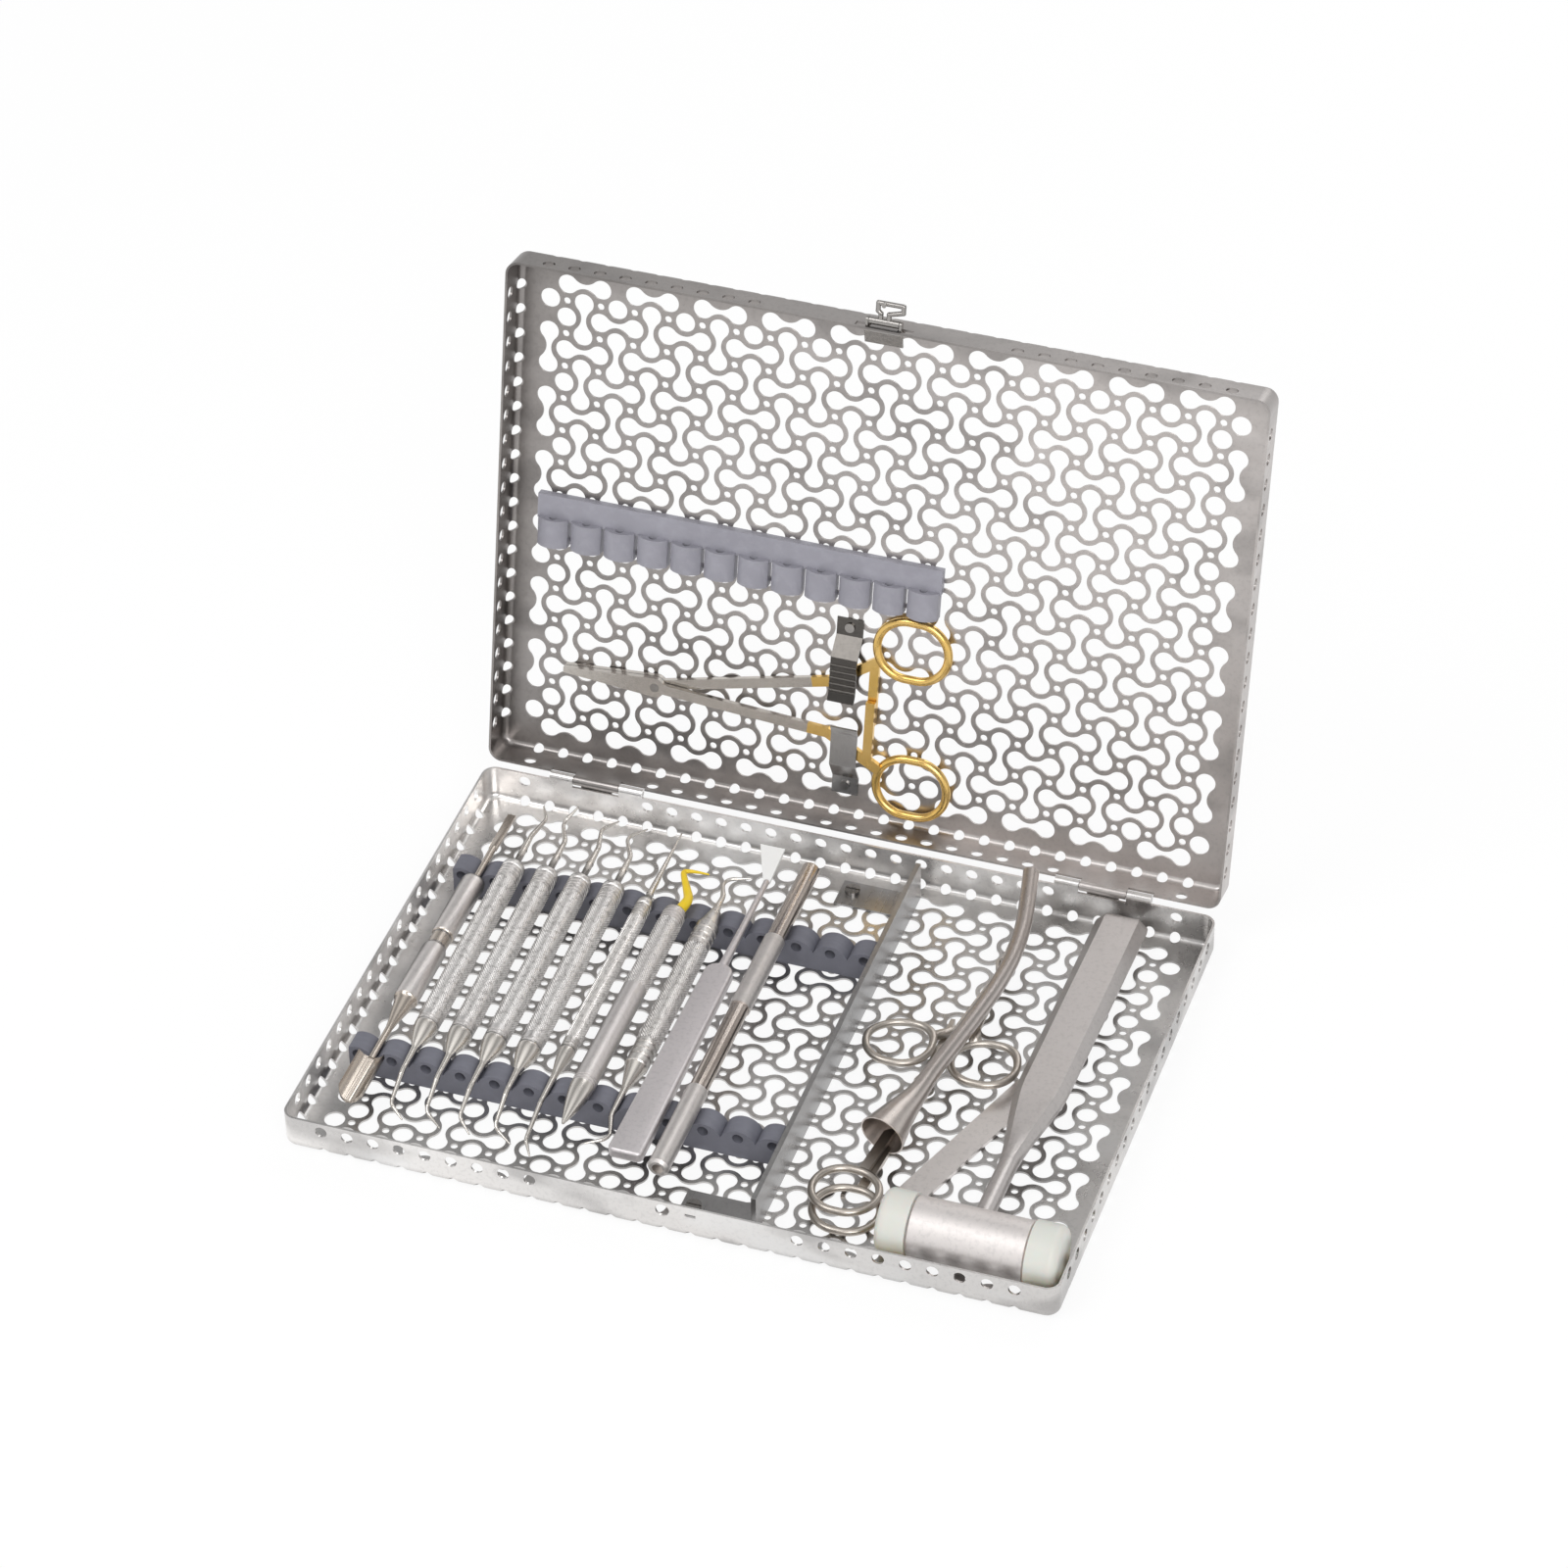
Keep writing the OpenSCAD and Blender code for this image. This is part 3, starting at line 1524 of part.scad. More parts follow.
// one half of the forceps: ring, shank, flat round the screw and jaw
module forceps_half(ring_x, ring_y, level, ring_z, bore_r) {
  pivot = [forceps_pivot_x, forceps_pivot_y];
  eye = [ring_x + ring_stretch / 2, ring_y];
  join = eye + (pivot - eye) * (ring_r / norm(pivot - eye));
  color("silver") {
    translate([ring_x, ring_y, ring_z])
      ring(ring_r, ring_wire_r, ring_stretch);
    difference() {
      translate([0, 0, level])
        linear_extrude(forceps_t) {
          strip(join, pivot, forceps_w);
          translate(pivot) {
            circle(forceps_boss_r);
            polygon([
              [-forceps_boss_r * 0.6, 0],
              [forceps_boss_r * 0.6, 0],
              [forceps_tip_w / 2, forceps_jaw],
              [-forceps_tip_w / 2, forceps_jaw]
            ]);
          }
        }
      translate([pivot[0], pivot[1], level - over])
        cylinder(h = forceps_t + 2 * over, r = bore_r);
    }
  }
}

module forceps_lower() {
  forceps_half(ring_c_x + ring_d_dx, ring_c_y + ring_d_dy, forceps_z,
    forceps_z + ring_wire_r, forceps_screw_r);
}

module forceps_upper() {
  forceps_half(ring_c_x, ring_c_y, forceps_z + forceps_t + half_gap,
    forceps_z + 3 * ring_wire_r + half_gap, forceps_screw_r + screw_play);
}

module forceps_screw() {
  color("gray")
    translate([forceps_pivot_x, forceps_pivot_y, forceps_z])
      cylinder(h = 2 * forceps_t + half_gap, r = forceps_screw_r);
}

// one half of the scissors: ring, bent shank, flat round the screw and blade
module scissors_half(side, ring_x, ring_y, level, bore_r) {
  pivot = [scissors_pivot_x, scissors_pivot_y];
  bend = pivot + [side * scissors_spread / 2, -scissors_bend];
  eye = [ring_x - side * ring_stretch / 2, ring_y];
  join = eye + (bend - eye) * (ring_r / norm(bend - eye));
  root = scissors_w / 2;
  color("silver") {
    translate([ring_x, ring_y, scissors_z])
      ring(ring_r, ring_wire_r, ring_stretch);
    difference() {
      translate([0, 0, level])
        linear_extrude(scissors_t) {
          strip_path([join, bend, pivot], scissors_w);
          translate(pivot) {
            circle(scissors_boss_r);
            polygon([
              [-root, 0],
              [root, 0],
              [scissors_tip_w / 2, scissors_blade],
              [-scissors_tip_w / 2, scissors_blade]
            ]);
          }
        }
      translate([pivot[0], pivot[1], level - over])
        cylinder(h = scissors_t + 2 * over, r = bore_r);
    }
  }
}

module scissors_left() {
  scissors_half(-1, ring_a_x, ring_a_y, scissors_z - half_gap / 2 - scissors_t, scissors_screw_r);
}

module scissors_right() {
  scissors_half(1, ring_b_x, ring_b_y, scissors_z + half_gap / 2, scissors_screw_r + screw_play);
}

module scissors_screw() {
  top = scissors_z + half_gap / 2 + scissors_t;
  color("gray")
    translate([scissors_pivot_x, scissors_pivot_y, 0]) {
      translate([0, 0, scissors_z - half_gap / 2 - scissors_t])
        cylinder(h = 2 * scissors_t + half_gap + screw_play, r = scissors_screw_r);
      translate([0, 0, top + screw_play])
        cylinder(h = scissors_head_h, r = scissors_head_r);
    }
}

// piece of tube along +Y as an outline of outer and inner radii at both ends
module tube_piece(y0, y1, out_0, out_1, in_0, in_1) {
  lathe_y([[in_0, y0], [out_0, y0], [out_1, y1], [in_1, y1]]);
}

// barely thicker ring that joins two pieces of the tube
module tube_joint() {
  tube_piece(-2 * joint_inset, 2 * joint_inset, tube_r + tube_step, tube_r + tube_step,
    tube_bore_r + tube_step, tube_bore_r + tube_step);
}

module suction_tube() {
  color("silver")
    translate([tube_rear_x, tube_rear_y, tube_z])
      rotate([0, 0, 180 - tube_lean]) {
        tube_piece(0, tube_len - joint_inset, tube_r, tube_r, tube_bore_r, tube_bore_r);
        translate([0, tube_len, 0])
          roll(-tube_roll) {
            tube_joint();
            translate([tube_bend_r, 0, 0])
              rotate([0, 0, 180 - tube_bend])
                rotate_extrude(angle = tube_bend)
                  translate([tube_bend_r, 0])
                    difference() {
                      circle(tube_r);
                      circle(tube_bore_r);
                    }
            round_bend(tube_bend_r, tube_bend) {
              tube_joint();
              tube_piece(joint_inset, bell_len, tube_r, bell_r, tube_bore_r, bell_r - bell_wall);
            }
          }
      }
}

// takes what follows to the middle of the mallet head, along the handle
module along_handle() {
  translate([mallet_x, mallet_y, mallet_z])
    rotate([-grip_tilt, 0, -grip_turn])
      children();
}

module mallet_handle() {
  w = grip_w / 2;
  t = grip_t / 2;
  b = grip_bevel;
  color("silver")
    along_handle() {
      rod(neck_len, neck_r, neck_r);
      intersection() {
        translate([0, grip_start, 0])
          rotate([-90, 0, 0])
            linear_extrude(grip_len - grip_start)
              polygon([
                [-w, t - b], [-w + b, t], [w - b, t], [w, t - b],
                [w, -t + b], [w - b, -t], [-w + b, -t], [-w, -t + b]
              ]);
        translate([0, 0, -grip_t])
          linear_extrude(2 * grip_t)
            polygon([
              [-neck_r, grip_start],
              [neck_r, grip_start],
              [grip_front_w / 2, neck_len],
              [w, grip_full],
              [w, grip_len - b],
              [w - b, grip_len],
              [-w + b, grip_len],
              [-w, grip_len - b],
              [-w, grip_full],
              [-grip_front_w / 2, neck_len]
            ]);
      }
    }
}

module mallet_head() {
  half = head_len / 2;
  c = head_chamfer;
  color("silver")
    difference() {
      translate([mallet_x, mallet_y, mallet_z])
        rotate([0, 90, 0])
          rotate_extrude()
            polygon([
              [0, -half + spigot_len], [spigot_r, -half + spigot_len], [spigot_r, -half],
              [head_r - c, -half], [head_r, -half + c],
              [head_r, half - c], [head_r - c, half],
              [spigot_r, half], [spigot_r, half - spigot_len], [0, half - spigot_len]
            ]);
      along_handle()
        rod(2 * head_r, neck_r, neck_r);
    }
}

// nylon striking cap with the spigot that sits in the head, side -1 left and 1 right
module mallet_cap(side) {
  color("ivory")
    translate([mallet_x + side * head_len / 2, mallet_y, mallet_z])
      rotate([0, side * 90, 0]) {
        rotate_extrude() {
          square([cap_r - cap_round, cap_len]);
          square([cap_r, cap_len - cap_round]);
          translate([cap_r - cap_round, cap_len - cap_round])
            circle(cap_round);
        }
        translate([0, 0, -spigot_len])
          cylinder(h = spigot_len + over, r = spigot_r);
      }
}

module mallet_cap_left() {
  mallet_cap(-1);
}

module mallet_cap_right() {
  mallet_cap(1);
}

base_tray();
hinge_pins();
front_rail();
rear_rail();
rail_studs();
divider();
divider_screws();
lid_tray();
lid_rail();
lid_rail_studs();
clip_upper();
clip_lower();
rivets();
latch_bracket();
latch_pin();
latch_loop();
holder_arm_a();
holder_bow_a();
holder_arm_b();
holder_bow_b();
holder_screw();
elevator();
curette_1();
curette_2();
curette_3();
curette_4();
fine_probe();
probe_handle();
probe_tip();
scaler();
chisel_handle();
chisel_blade();
bar_core();
bar_sleeves();
retractor();
forceps_lower();
forceps_upper();
forceps_screw();
scissors_left();
scissors_right();
scissors_screw();
suction_tube();
mallet_handle();
mallet_head();
mallet_cap_left();
mallet_cap_right();
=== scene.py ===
"""Looks of a perforated instrument cassette with its lid open and its hand instruments in place.

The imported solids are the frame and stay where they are. This script gives each of them its finish,
puts finer forms in the place of some handles, the suction tube and the scissors, adds the small
repeated relief that the solids leave out, and sets up the camera, lamps and floor. Sizes and places
are in millimetres unless a line says otherwise.
"""

from __future__ import annotations

import logging
import math
from dataclasses import dataclass, field
from enum import Enum, IntEnum

import bmesh
import bpy
from mathutils import Matrix, Vector

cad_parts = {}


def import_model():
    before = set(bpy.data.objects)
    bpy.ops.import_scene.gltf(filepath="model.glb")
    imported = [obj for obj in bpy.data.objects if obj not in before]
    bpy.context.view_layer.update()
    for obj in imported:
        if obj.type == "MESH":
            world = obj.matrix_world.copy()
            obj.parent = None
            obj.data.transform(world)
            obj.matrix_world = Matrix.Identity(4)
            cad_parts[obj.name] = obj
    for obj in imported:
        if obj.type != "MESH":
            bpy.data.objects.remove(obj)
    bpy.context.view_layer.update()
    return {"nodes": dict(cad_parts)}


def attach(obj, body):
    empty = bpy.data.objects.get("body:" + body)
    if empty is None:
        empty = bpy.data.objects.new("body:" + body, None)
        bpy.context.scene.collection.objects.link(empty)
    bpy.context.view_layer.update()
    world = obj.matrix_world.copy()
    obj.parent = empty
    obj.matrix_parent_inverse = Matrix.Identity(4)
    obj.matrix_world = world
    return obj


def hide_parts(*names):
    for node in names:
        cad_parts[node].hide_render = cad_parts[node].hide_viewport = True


logging.basicConfig(level=logging.INFO, format="%(message)s")
LOG = logging.getLogger("cassette")
MM = 0.001
RELIEF = 0.2 * MM
GLOW_DEPTH = 4.0 * MM
MERGE = 0.002 * MM
CUT_REACH = 0.0001 * MM
LID_HINGE = (0.0, 101.1, 14.5)
LID_LEAN = 102.0
Colour = tuple[float, float, float]
BLACK: Colour = (0.0, 0.0, 0.0)
STEEL_SLOT = "instrument_steel"


# Shader maths


class Signal:
    """One output socket of a node tree, which can be used in Python sums."""

    def __init__(self, graph: "Graph", socket: bpy.types.NodeSocket) -> None:
        """Keeps the tree and the socket.

        Args:
            graph: the tree that new nodes go into.
            socket: the output socket that this signal stands for.
        """
        self.graph = graph
        self.socket = socket

    def _math(self, operation: str, first: object, second: object) -> "Signal":
        """Adds one Math node.

        Args:
            operation: the Math node's operation.
            first: a signal or a number for its first input.
            second: a signal or a number for its second input.

        Returns:
            The node's output as a signal.
        """
        return self.graph.node("ShaderNodeMath", {"operation": operation}, {0: first, 1: second})

    def __add__(self, other: object) -> "Signal":
        """Sum."""
        return self._math("ADD", self, other)

    __radd__ = __add__

    def __sub__(self, other: object) -> "Signal":
        """Difference."""
        return self._math("SUBTRACT", self, other)

    def __rsub__(self, other: object) -> "Signal":
        """Difference with this signal on the right."""
        return self._math("SUBTRACT", other, self)

    def __mul__(self, other: object) -> "Signal":
        """Product."""
        return self._math("MULTIPLY", self, other)

    __rmul__ = __mul__

    def __truediv__(self, other: object) -> "Signal":
        """Quotient."""
        return self._math("DIVIDE", self, other)

    def __rtruediv__(self, other: object) -> "Signal":
        """Quotient with this signal below."""
        return self._math("DIVIDE", other, self)

    def __pow__(self, other: object) -> "Signal":
        """Power."""
        return self._math("POWER", self, other)

    def at_most(self, other: object) -> "Signal":
        """Smaller of the two."""
        return self._math("MINIMUM", self, other)

    def at_least(self, other: object) -> "Signal":
        """Larger of the two."""
        return self._math("MAXIMUM", self, other)

    def clamped(self) -> "Signal":
        """This signal held between 0 and 1."""
        return self.at_least(0.0).at_most(1.0)


class Graph:
    """A node tree with one method that adds any node and wraps what comes out."""

    def __init__(self, tree: bpy.types.NodeTree) -> None:
        """Keeps the tree.

        Args:
            tree: an empty or cleared node tree.
        """
        self.tree = tree
        self._object: Signal | None = None

    def raw(self, kind: str, settings: dict[str, object] | None = None,
            values: dict[int | str, object] | None = None) -> bpy.types.Node:
        """Adds a node.

        Args:
            kind: the node's type name.
            settings: its properties; for a ramp, "stops" is a list of pairs of position and grey value.
            values: socket names or numbers with a signal, a socket or a plain value.

        Returns:
            The new node.
        """
        node = self.tree.nodes.new(kind)
        for name, value in (settings or {}).items():
            if name == "stops":
                self._stops(node.color_ramp, value)
            else:
                setattr(node, name, value)
        for key, value in (values or {}).items():
            socket = node.inputs[key]
            if isinstance(value, Signal):
                self.tree.links.new(value.socket, socket)
            elif isinstance(value, bpy.types.NodeSocket):
                self.tree.links.new(value, socket)
            else:
                socket.default_value = value
        return node

    def node(self, kind: str, settings: dict[str, object] | None = None,
             values: dict[int | str, object] | None = None, out: int | str = 0) -> Signal:
        """Adds a node and wraps one of its outputs.

        Args:
            kind: the node's type name.
            settings: its properties.
            values: its inputs.
            out: the name or number of the output to wrap.

        Returns:
            That output as a signal.
        """
        return Signal(self, self.raw(kind, settings, values).outputs[out])

    @staticmethod
    def _stops(ramp: bpy.types.ColorRamp, stops: list[tuple[float, float]]) -> None:
        """Sets a ramp's stops from pairs of position and grey value."""
        while len(ramp.elements) > len(stops):
            ramp.elements.remove(ramp.elements[-1])
        while len(ramp.elements) < len(stops):
            ramp.elements.new(1.0)
        for element, (place, grey) in zip(ramp.elements, stops):
            element.position = place
            element.color = (grey, grey, grey, 1.0)

    @property
    def place(self) -> Signal:
        """Object coordinates, shared by all patterns of the tree."""
        if self._object is None:
            self._object = self.node("ShaderNodeTexCoord", out="Object")
        return self._object

    def stretched(self, scale: tuple[float, float, float]) -> Signal:
        """Object coordinates scaled per axis."""
        return self.node("ShaderNodeMapping", {"vector_type": "POINT"},
                         {"Vector": self.place, "Scale": scale})

    def noise(self, where: Signal, scale: float, detail: float = 3.0, rough: float = 0.5) -> Signal:
        """Noise as a value from 0 to 1.

        Args:
            where: the coordinates.
            scale: the pattern's scale.
            detail: the number of finer layers.
            rough: the weight of the finer layers.

        Returns:
            The noise.
        """
        return self.node("ShaderNodeTexNoise", {"noise_dimensions": "3D"},
                         {"Vector": where, "Scale": scale, "Detail": detail, "Roughness": rough}, "Fac")

    def steps(self, value: Signal, stops: list[tuple[float, float]]) -> Signal:
        """Grey ramp over a value."""
        return self.node("ShaderNodeValToRGB", {"stops": stops}, {"Fac": value}, "Color")

    def blend(self, factor: object, low: object, high: object) -> Signal:
        """Mix of two colours.

        Args:
            factor: a signal or number from 0 to 1.
            low: the colour at 0.
            high: the colour at 1.

        Returns:
            The mixed colour.
        """
        mix = self.raw("ShaderNodeMix", {"data_type": "RGBA", "blend_type": "MIX"}, {0: factor})
        for key, value in ((6, low), (7, high)):
            if isinstance(value, Signal):
                self.tree.links.new(value.socket, mix.inputs[key])
            else:
                mix.inputs[key].default_value = (*value, 1.0)
        return Signal(self, mix.outputs[2])

    def height(self, axis: str = "Z") -> Signal:
        """One object coordinate in metres."""
        return self.node("ShaderNodeSeparateXYZ", None, {0: self.place}, axis)

    def bump(self, value: Signal, strength: float) -> Signal:
        """Normal disturbed by a height signal."""
        return self.node("ShaderNodeBump", None,
                         {"Height": value, "Strength": strength, "Distance": RELIEF}, "Normal")


class Grain(Enum):
    """Which way the fine lines of a metal run."""

    ALONG_X = (6.0, 400.0, 400.0)
    ALONG_Y = (400.0, 6.0, 400.0)
    ROUND_X = (900.0, 14.0, 14.0)
    ROUND_Y = (14.0, 900.0, 14.0)
    NONE = (120.0, 120.0, 120.0)


@dataclass(frozen=True)
class Finish:
    """A named surface; its subclasses say how it is made."""

    name: str
    colour: Colour

    def weave(self, graph: Graph) -> tuple[dict[str, object], dict[str, object]]:
        """Builds the patterns.

        Args:
            graph: the material's tree.

        Returns:
            Linked inputs and constant inputs of the surface shader.
        """
        raise NotImplementedError

    def toned(self, factor: float) -> Colour:
        """The finish's colour made lighter or darker by a factor."""
        return tuple(min(1.0, part * factor) for part in self.colour)

    def material(self) -> bpy.types.Material:
        """Makes the material, or returns it if it is there.

        Returns:
            The material, under a name that no material of the frame has.
        """
        label = "finish_" + self.name
        made = bpy.data.materials.get(label)
        if made:
            return made
        made = bpy.data.materials.new(label)
        made.use_nodes = True
        tree = made.node_tree
        tree.nodes.clear()
        graph = Graph(tree)
        linked, constant = self.weave(graph)
        shader = graph.raw("ShaderNodeBsdfPrincipled", None, {**constant, **linked})
        graph.raw("ShaderNodeOutputMaterial", None, {"Surface": shader.outputs[0]})
        made.diffuse_color = (*self.colour, 1.0)
        return made


@dataclass(frozen=True)
class Steel(Finish):
    """Stainless steel: fine lines, cloudy tone, dark specks, stains, painted highlight patches and a warm or
    cool cast.

    A fade is an axis, the two places between which it runs and the tone at each; fades are painted light
    and shade across a piece. The rim is painted shade: how much a round piece darkens towards its outline.
    """

    rough: float = 0.3
    grain: Grain = Grain.NONE
    line_depth: float = 0.05
    line_scale: float = 4.0
    line_sway: float = 0.16
    cloud: float = 0.12
    cloud_scale: float = 28.0
    cloud_sway: float = 0.12
    patch_scale: float = 9.0
    patch_share: float = 0.5
    warmth: float = 0.05
    speck: float = 0.18
    speck_scale: float = 620.0
    speck_tone: float = 0.55
    # share of dark stain blots and of painted highlight patches
    stain_and_painted_highlight: float = 0.0
    blot_scale: tuple[float, float, float] = (30.0, 30.0, 55.0)
    blot_tone: float = 0.3
    painted_highlight_scale: tuple[float, float, float] = (26.0, 26.0, 60.0)
    painted_highlight_tone: float = 1.5
    # rim: strength of the painted shade that darkens a round piece towards its outline
    rim: float = 0.0
    painted_edge_shade_power: float = 2.2
    painted_edge_shade_tone: float = 0.16
    # painted light and shade: tone fades along axes as the light falls across a piece
    painted_light_fades: tuple[tuple[str, float, float, float, float], ...] = ()
    painted_light_fade_sway: float = 0.2

    def with_stains_and_painted_highlights(self, graph: Graph, tone: Signal) -> Signal:
        """Adds dark stain blots and painted highlights: bright patches standing in for glints of light.

        Args:
            graph: the material's tree.
            tone: the colour so far.

        Returns:
            The colour with stains and painted highlights, or the same one where nothing stains.
        """
        if not self.stain_and_painted_highlight:
            return tone
        blots = graph.steps(graph.noise(graph.stretched(self.blot_scale), 1.0, 2.0, 0.5),
                            [(0.36, 1.0), (0.5, 0.0), (1.0, 0.0)])
        tone = graph.blend(blots * self.stain_and_painted_highlight, tone, self.toned(self.blot_tone))
        # painted highlight: bright patches standing in for glints of light on the steel
        painted_highlights = graph.steps(graph.noise(graph.stretched(self.painted_highlight_scale), 1.0, 2.0, 0.5),
                             [(0.0, 0.0), (0.55, 0.0), (0.68, 1.0)])
        return graph.blend(painted_highlights * self.stain_and_painted_highlight, tone, self.toned(self.painted_highlight_tone))

    def with_painted_edge_shade(self, graph: Graph, tone: Signal) -> Signal:
        """Paints shade that darkens the colour towards the outline.

        Args:
            graph: the material's tree.
            tone: the colour so far.

        Returns:
            The colour with painted edge shade, or the same one where there is no rim.
        """
        if not self.rim:
            return tone
        # painted shade: darker towards grazing angles, standing in for dark surroundings seen in the steel
        grazing = graph.node("ShaderNodeLayerWeight", None, {"Blend": 0.5}, "Facing")
        return graph.blend(grazing ** self.painted_edge_shade_power * self.rim, tone, self.toned(self.painted_edge_shade_tone))

    def weave(self, graph: Graph) -> tuple[dict[str, object], dict[str, object]]:
        """Builds lines, clouds, specks, stains, painted highlights, painted light fades and painted edge
        shade.

        Args:
            graph: the material's tree.

        Returns:
            Linked inputs and constant inputs of the surface shader.
        """
        lines = graph.noise(graph.stretched(self.grain.value), self.line_scale, 4.0, 0.65)
        clouds = graph.noise(graph.place, self.cloud_scale, 3.0, 0.55)
        patches = graph.noise(graph.place, self.patch_scale, 2.0, 0.5)
        specks = graph.steps(graph.noise(graph.place, self.speck_scale, 2.0, 0.6),
                             [(0.0, 0.0), (0.5, 0.0), (0.66, 1.0)])
        bright = self.toned(1.0 + self.cloud)
        warm = (bright[0] * (1 + self.warmth), bright[1], bright[2] * (1 - self.warmth))
        tone = graph.blend(clouds, self.toned(1.0 - self.cloud), bright)
        tone = graph.blend(patches * self.patch_share, tone, warm)
        tone = graph.blend(specks * self.speck, tone, self.toned(self.speck_tone))
        tone = self.with_stains_and_painted_highlights(graph, tone)
        # painted light and shade: the colour fades darker or lighter along an axis, as the light falls across
        # the piece
        for axis, start, end, first, last in self.painted_light_fades:
            across = ((graph.height(axis) / MM - start) / (end - start)).clamped()
            level = first + across * (last - first) + (patches - 0.5) * self.painted_light_fade_sway
            tone = graph.blend(level, BLACK, tone)
        rough = self.rough + (lines - 0.5) * self.line_sway + (clouds - 0.5) * self.cloud_sway
        return ({"Base Color": self.with_painted_edge_shade(graph, tone), "Roughness": rough,
                 "Normal": graph.bump(lines, self.line_depth)},
                {"Metallic": 1.0})


@dataclass(frozen=True)
class BandedSteel(Steel):
    """Round steel handle: satin along its grips, polished on its cones and shanks, dark at its collars.

    The bands are pairs of ends along Y in millimetres.
    """

    satin: tuple[tuple[float, float], ...] = ()
    dark: tuple[tuple[float, float], ...] = ()
    dark_tone: float = 0.35
    polish: Colour = (0.80, 0.76, 0.71)
    polish_rough: float = 0.27
    smear_tone: float = 0.84
    smear_sway: float = 0.08
    edge: float = 0.5

    def band(self, graph: Graph, ranges: tuple[tuple[float, float], ...]) -> Signal:
        """Mask of the bands.

        Args:
            graph: the material's tree.
            ranges: the bands' ends.

        Returns:
            1 inside a band and 0 outside.
        """
        along = graph.height("Y") / MM
        mask: Signal | None = None
        for low, high in ranges:
            one = ((along - low) / self.edge).at_most((high - along) / self.edge).clamped()
            mask = one if mask is None else mask.at_least(one)
        return mask

    def weave(self, graph: Graph) -> tuple[dict[str, object], dict[str, object]]:
        """Builds the bands over the satin steel.

        Args:
            graph: the material's tree.

        Returns:
            Linked inputs and constant inputs of the surface shader.
        """
        linked, constant = super().weave(graph)
        inside = self.band(graph, self.satin)
        smear = graph.noise(graph.stretched((60.0, 8.0, 60.0)), 3.0, 3.0, 0.6)
        shine = graph.blend(smear, self.polish, tuple(part * self.smear_tone for part in self.polish))
        # painted edge shade applied a second time, over the polished and satin bands
        tone = self.with_painted_edge_shade(graph, graph.blend(inside, shine, linked["Base Color"]))
        polished = self.polish_rough + (smear - 0.5) * self.smear_sway
        rough = inside * linked["Roughness"] + (1.0 - inside) * polished
        if self.dark:
            tone = graph.blend(self.band(graph, self.dark), tone, self.toned(self.dark_tone))
        return {**linked, "Base Color": tone, "Roughness": rough}, constant


@dataclass(frozen=True)
class Gold(Finish):
    """Gold plating, worn a little paler where it is handled."""

    rough: float = 0.24
    rough_sway: float = 0.18
    worn_cast: Colour = (1.05, 1.14, 1.7)
    deep_tone: float = 0.82
    deep_share: float = 0.4

    def weave(self, graph: Graph) -> tuple[dict[str, object], dict[str, object]]:
        """Builds the worn plating; see Finish.weave."""
        worn = graph.steps(graph.noise(graph.place, 60.0, 4.0, 0.6), [(0.35, 0.0), (0.75, 1.0)])
        fine = graph.noise(graph.place, 420.0, 3.0, 0.6)
        pale = tuple(part * cast for part, cast in zip(self.colour, self.worn_cast))
        plated = graph.blend(worn, self.colour, pale)
        tone = graph.blend(fine * self.deep_share, plated, self.toned(self.deep_tone))
        return ({"Base Color": tone, "Roughness": self.rough + (fine - 0.5) * self.rough_sway,
                 "Normal": graph.bump(fine, 0.06)}, {"Metallic": 1.0})


@dataclass(frozen=True)
class Silicone(Finish):
    """Moulded silicone rubber: matt, faintly mottled, paler where it is rubbed."""

    rough: float = 0.5
    rough_sway: float = 0.2
    mottle: tuple[float, float] = (0.86, 1.12)
    pale: float = 1.35
    pale_share: float = 0.4

    def weave(self, graph: Graph) -> tuple[dict[str, object], dict[str, object]]:
        """Builds the mottled rubber; see Finish.weave."""
        clouds = graph.noise(graph.place, 70.0, 4.0, 0.6)
        skin = graph.noise(graph.place, 700.0, 3.0, 0.6)
        bloom = graph.steps(graph.noise(graph.stretched((60.0, 200.0, 60.0)), 3.0, 3.0, 0.6),
                            [(0.45, 0.0), (0.8, 1.0)])
        tone = graph.blend(clouds, *(self.toned(level) for level in self.mottle))
        tone = graph.blend(bloom * self.pale_share, tone, self.toned(self.pale))
        return ({"Base Color": tone, "Roughness": self.rough + (clouds - 0.5) * self.rough_sway,
                 "Normal": graph.bump(skin, 0.12)},
                {"Metallic": 0.0, "Specular IOR Level": 0.45})


@dataclass(frozen=True)
class Plastic(Finish):
    """Moulded plastic with a smooth skin and faint flow marks."""

    rough: float = 0.32
    rough_sway: float = 0.12
    mottle: tuple[float, float] = (0.93, 1.05)
    soft: float = 0.0

    def weave(self, graph: Graph) -> tuple[dict[str, object], dict[str, object]]:
        """Builds the moulded skin; see Finish.weave."""
        flow = graph.noise(graph.place, 90.0, 3.0, 0.5)
        skin = graph.noise(graph.place, 800.0, 2.0, 0.5)
        tone = graph.blend(flow, *(self.toned(level) for level in self.mottle))
        return ({"Base Color": tone, "Roughness": self.rough + (flow - 0.5) * self.rough_sway,
                 "Normal": graph.bump(skin, 0.05)},
                {"Metallic": 0.0, "Subsurface Weight": self.soft, "Subsurface Scale": GLOW_DEPTH})


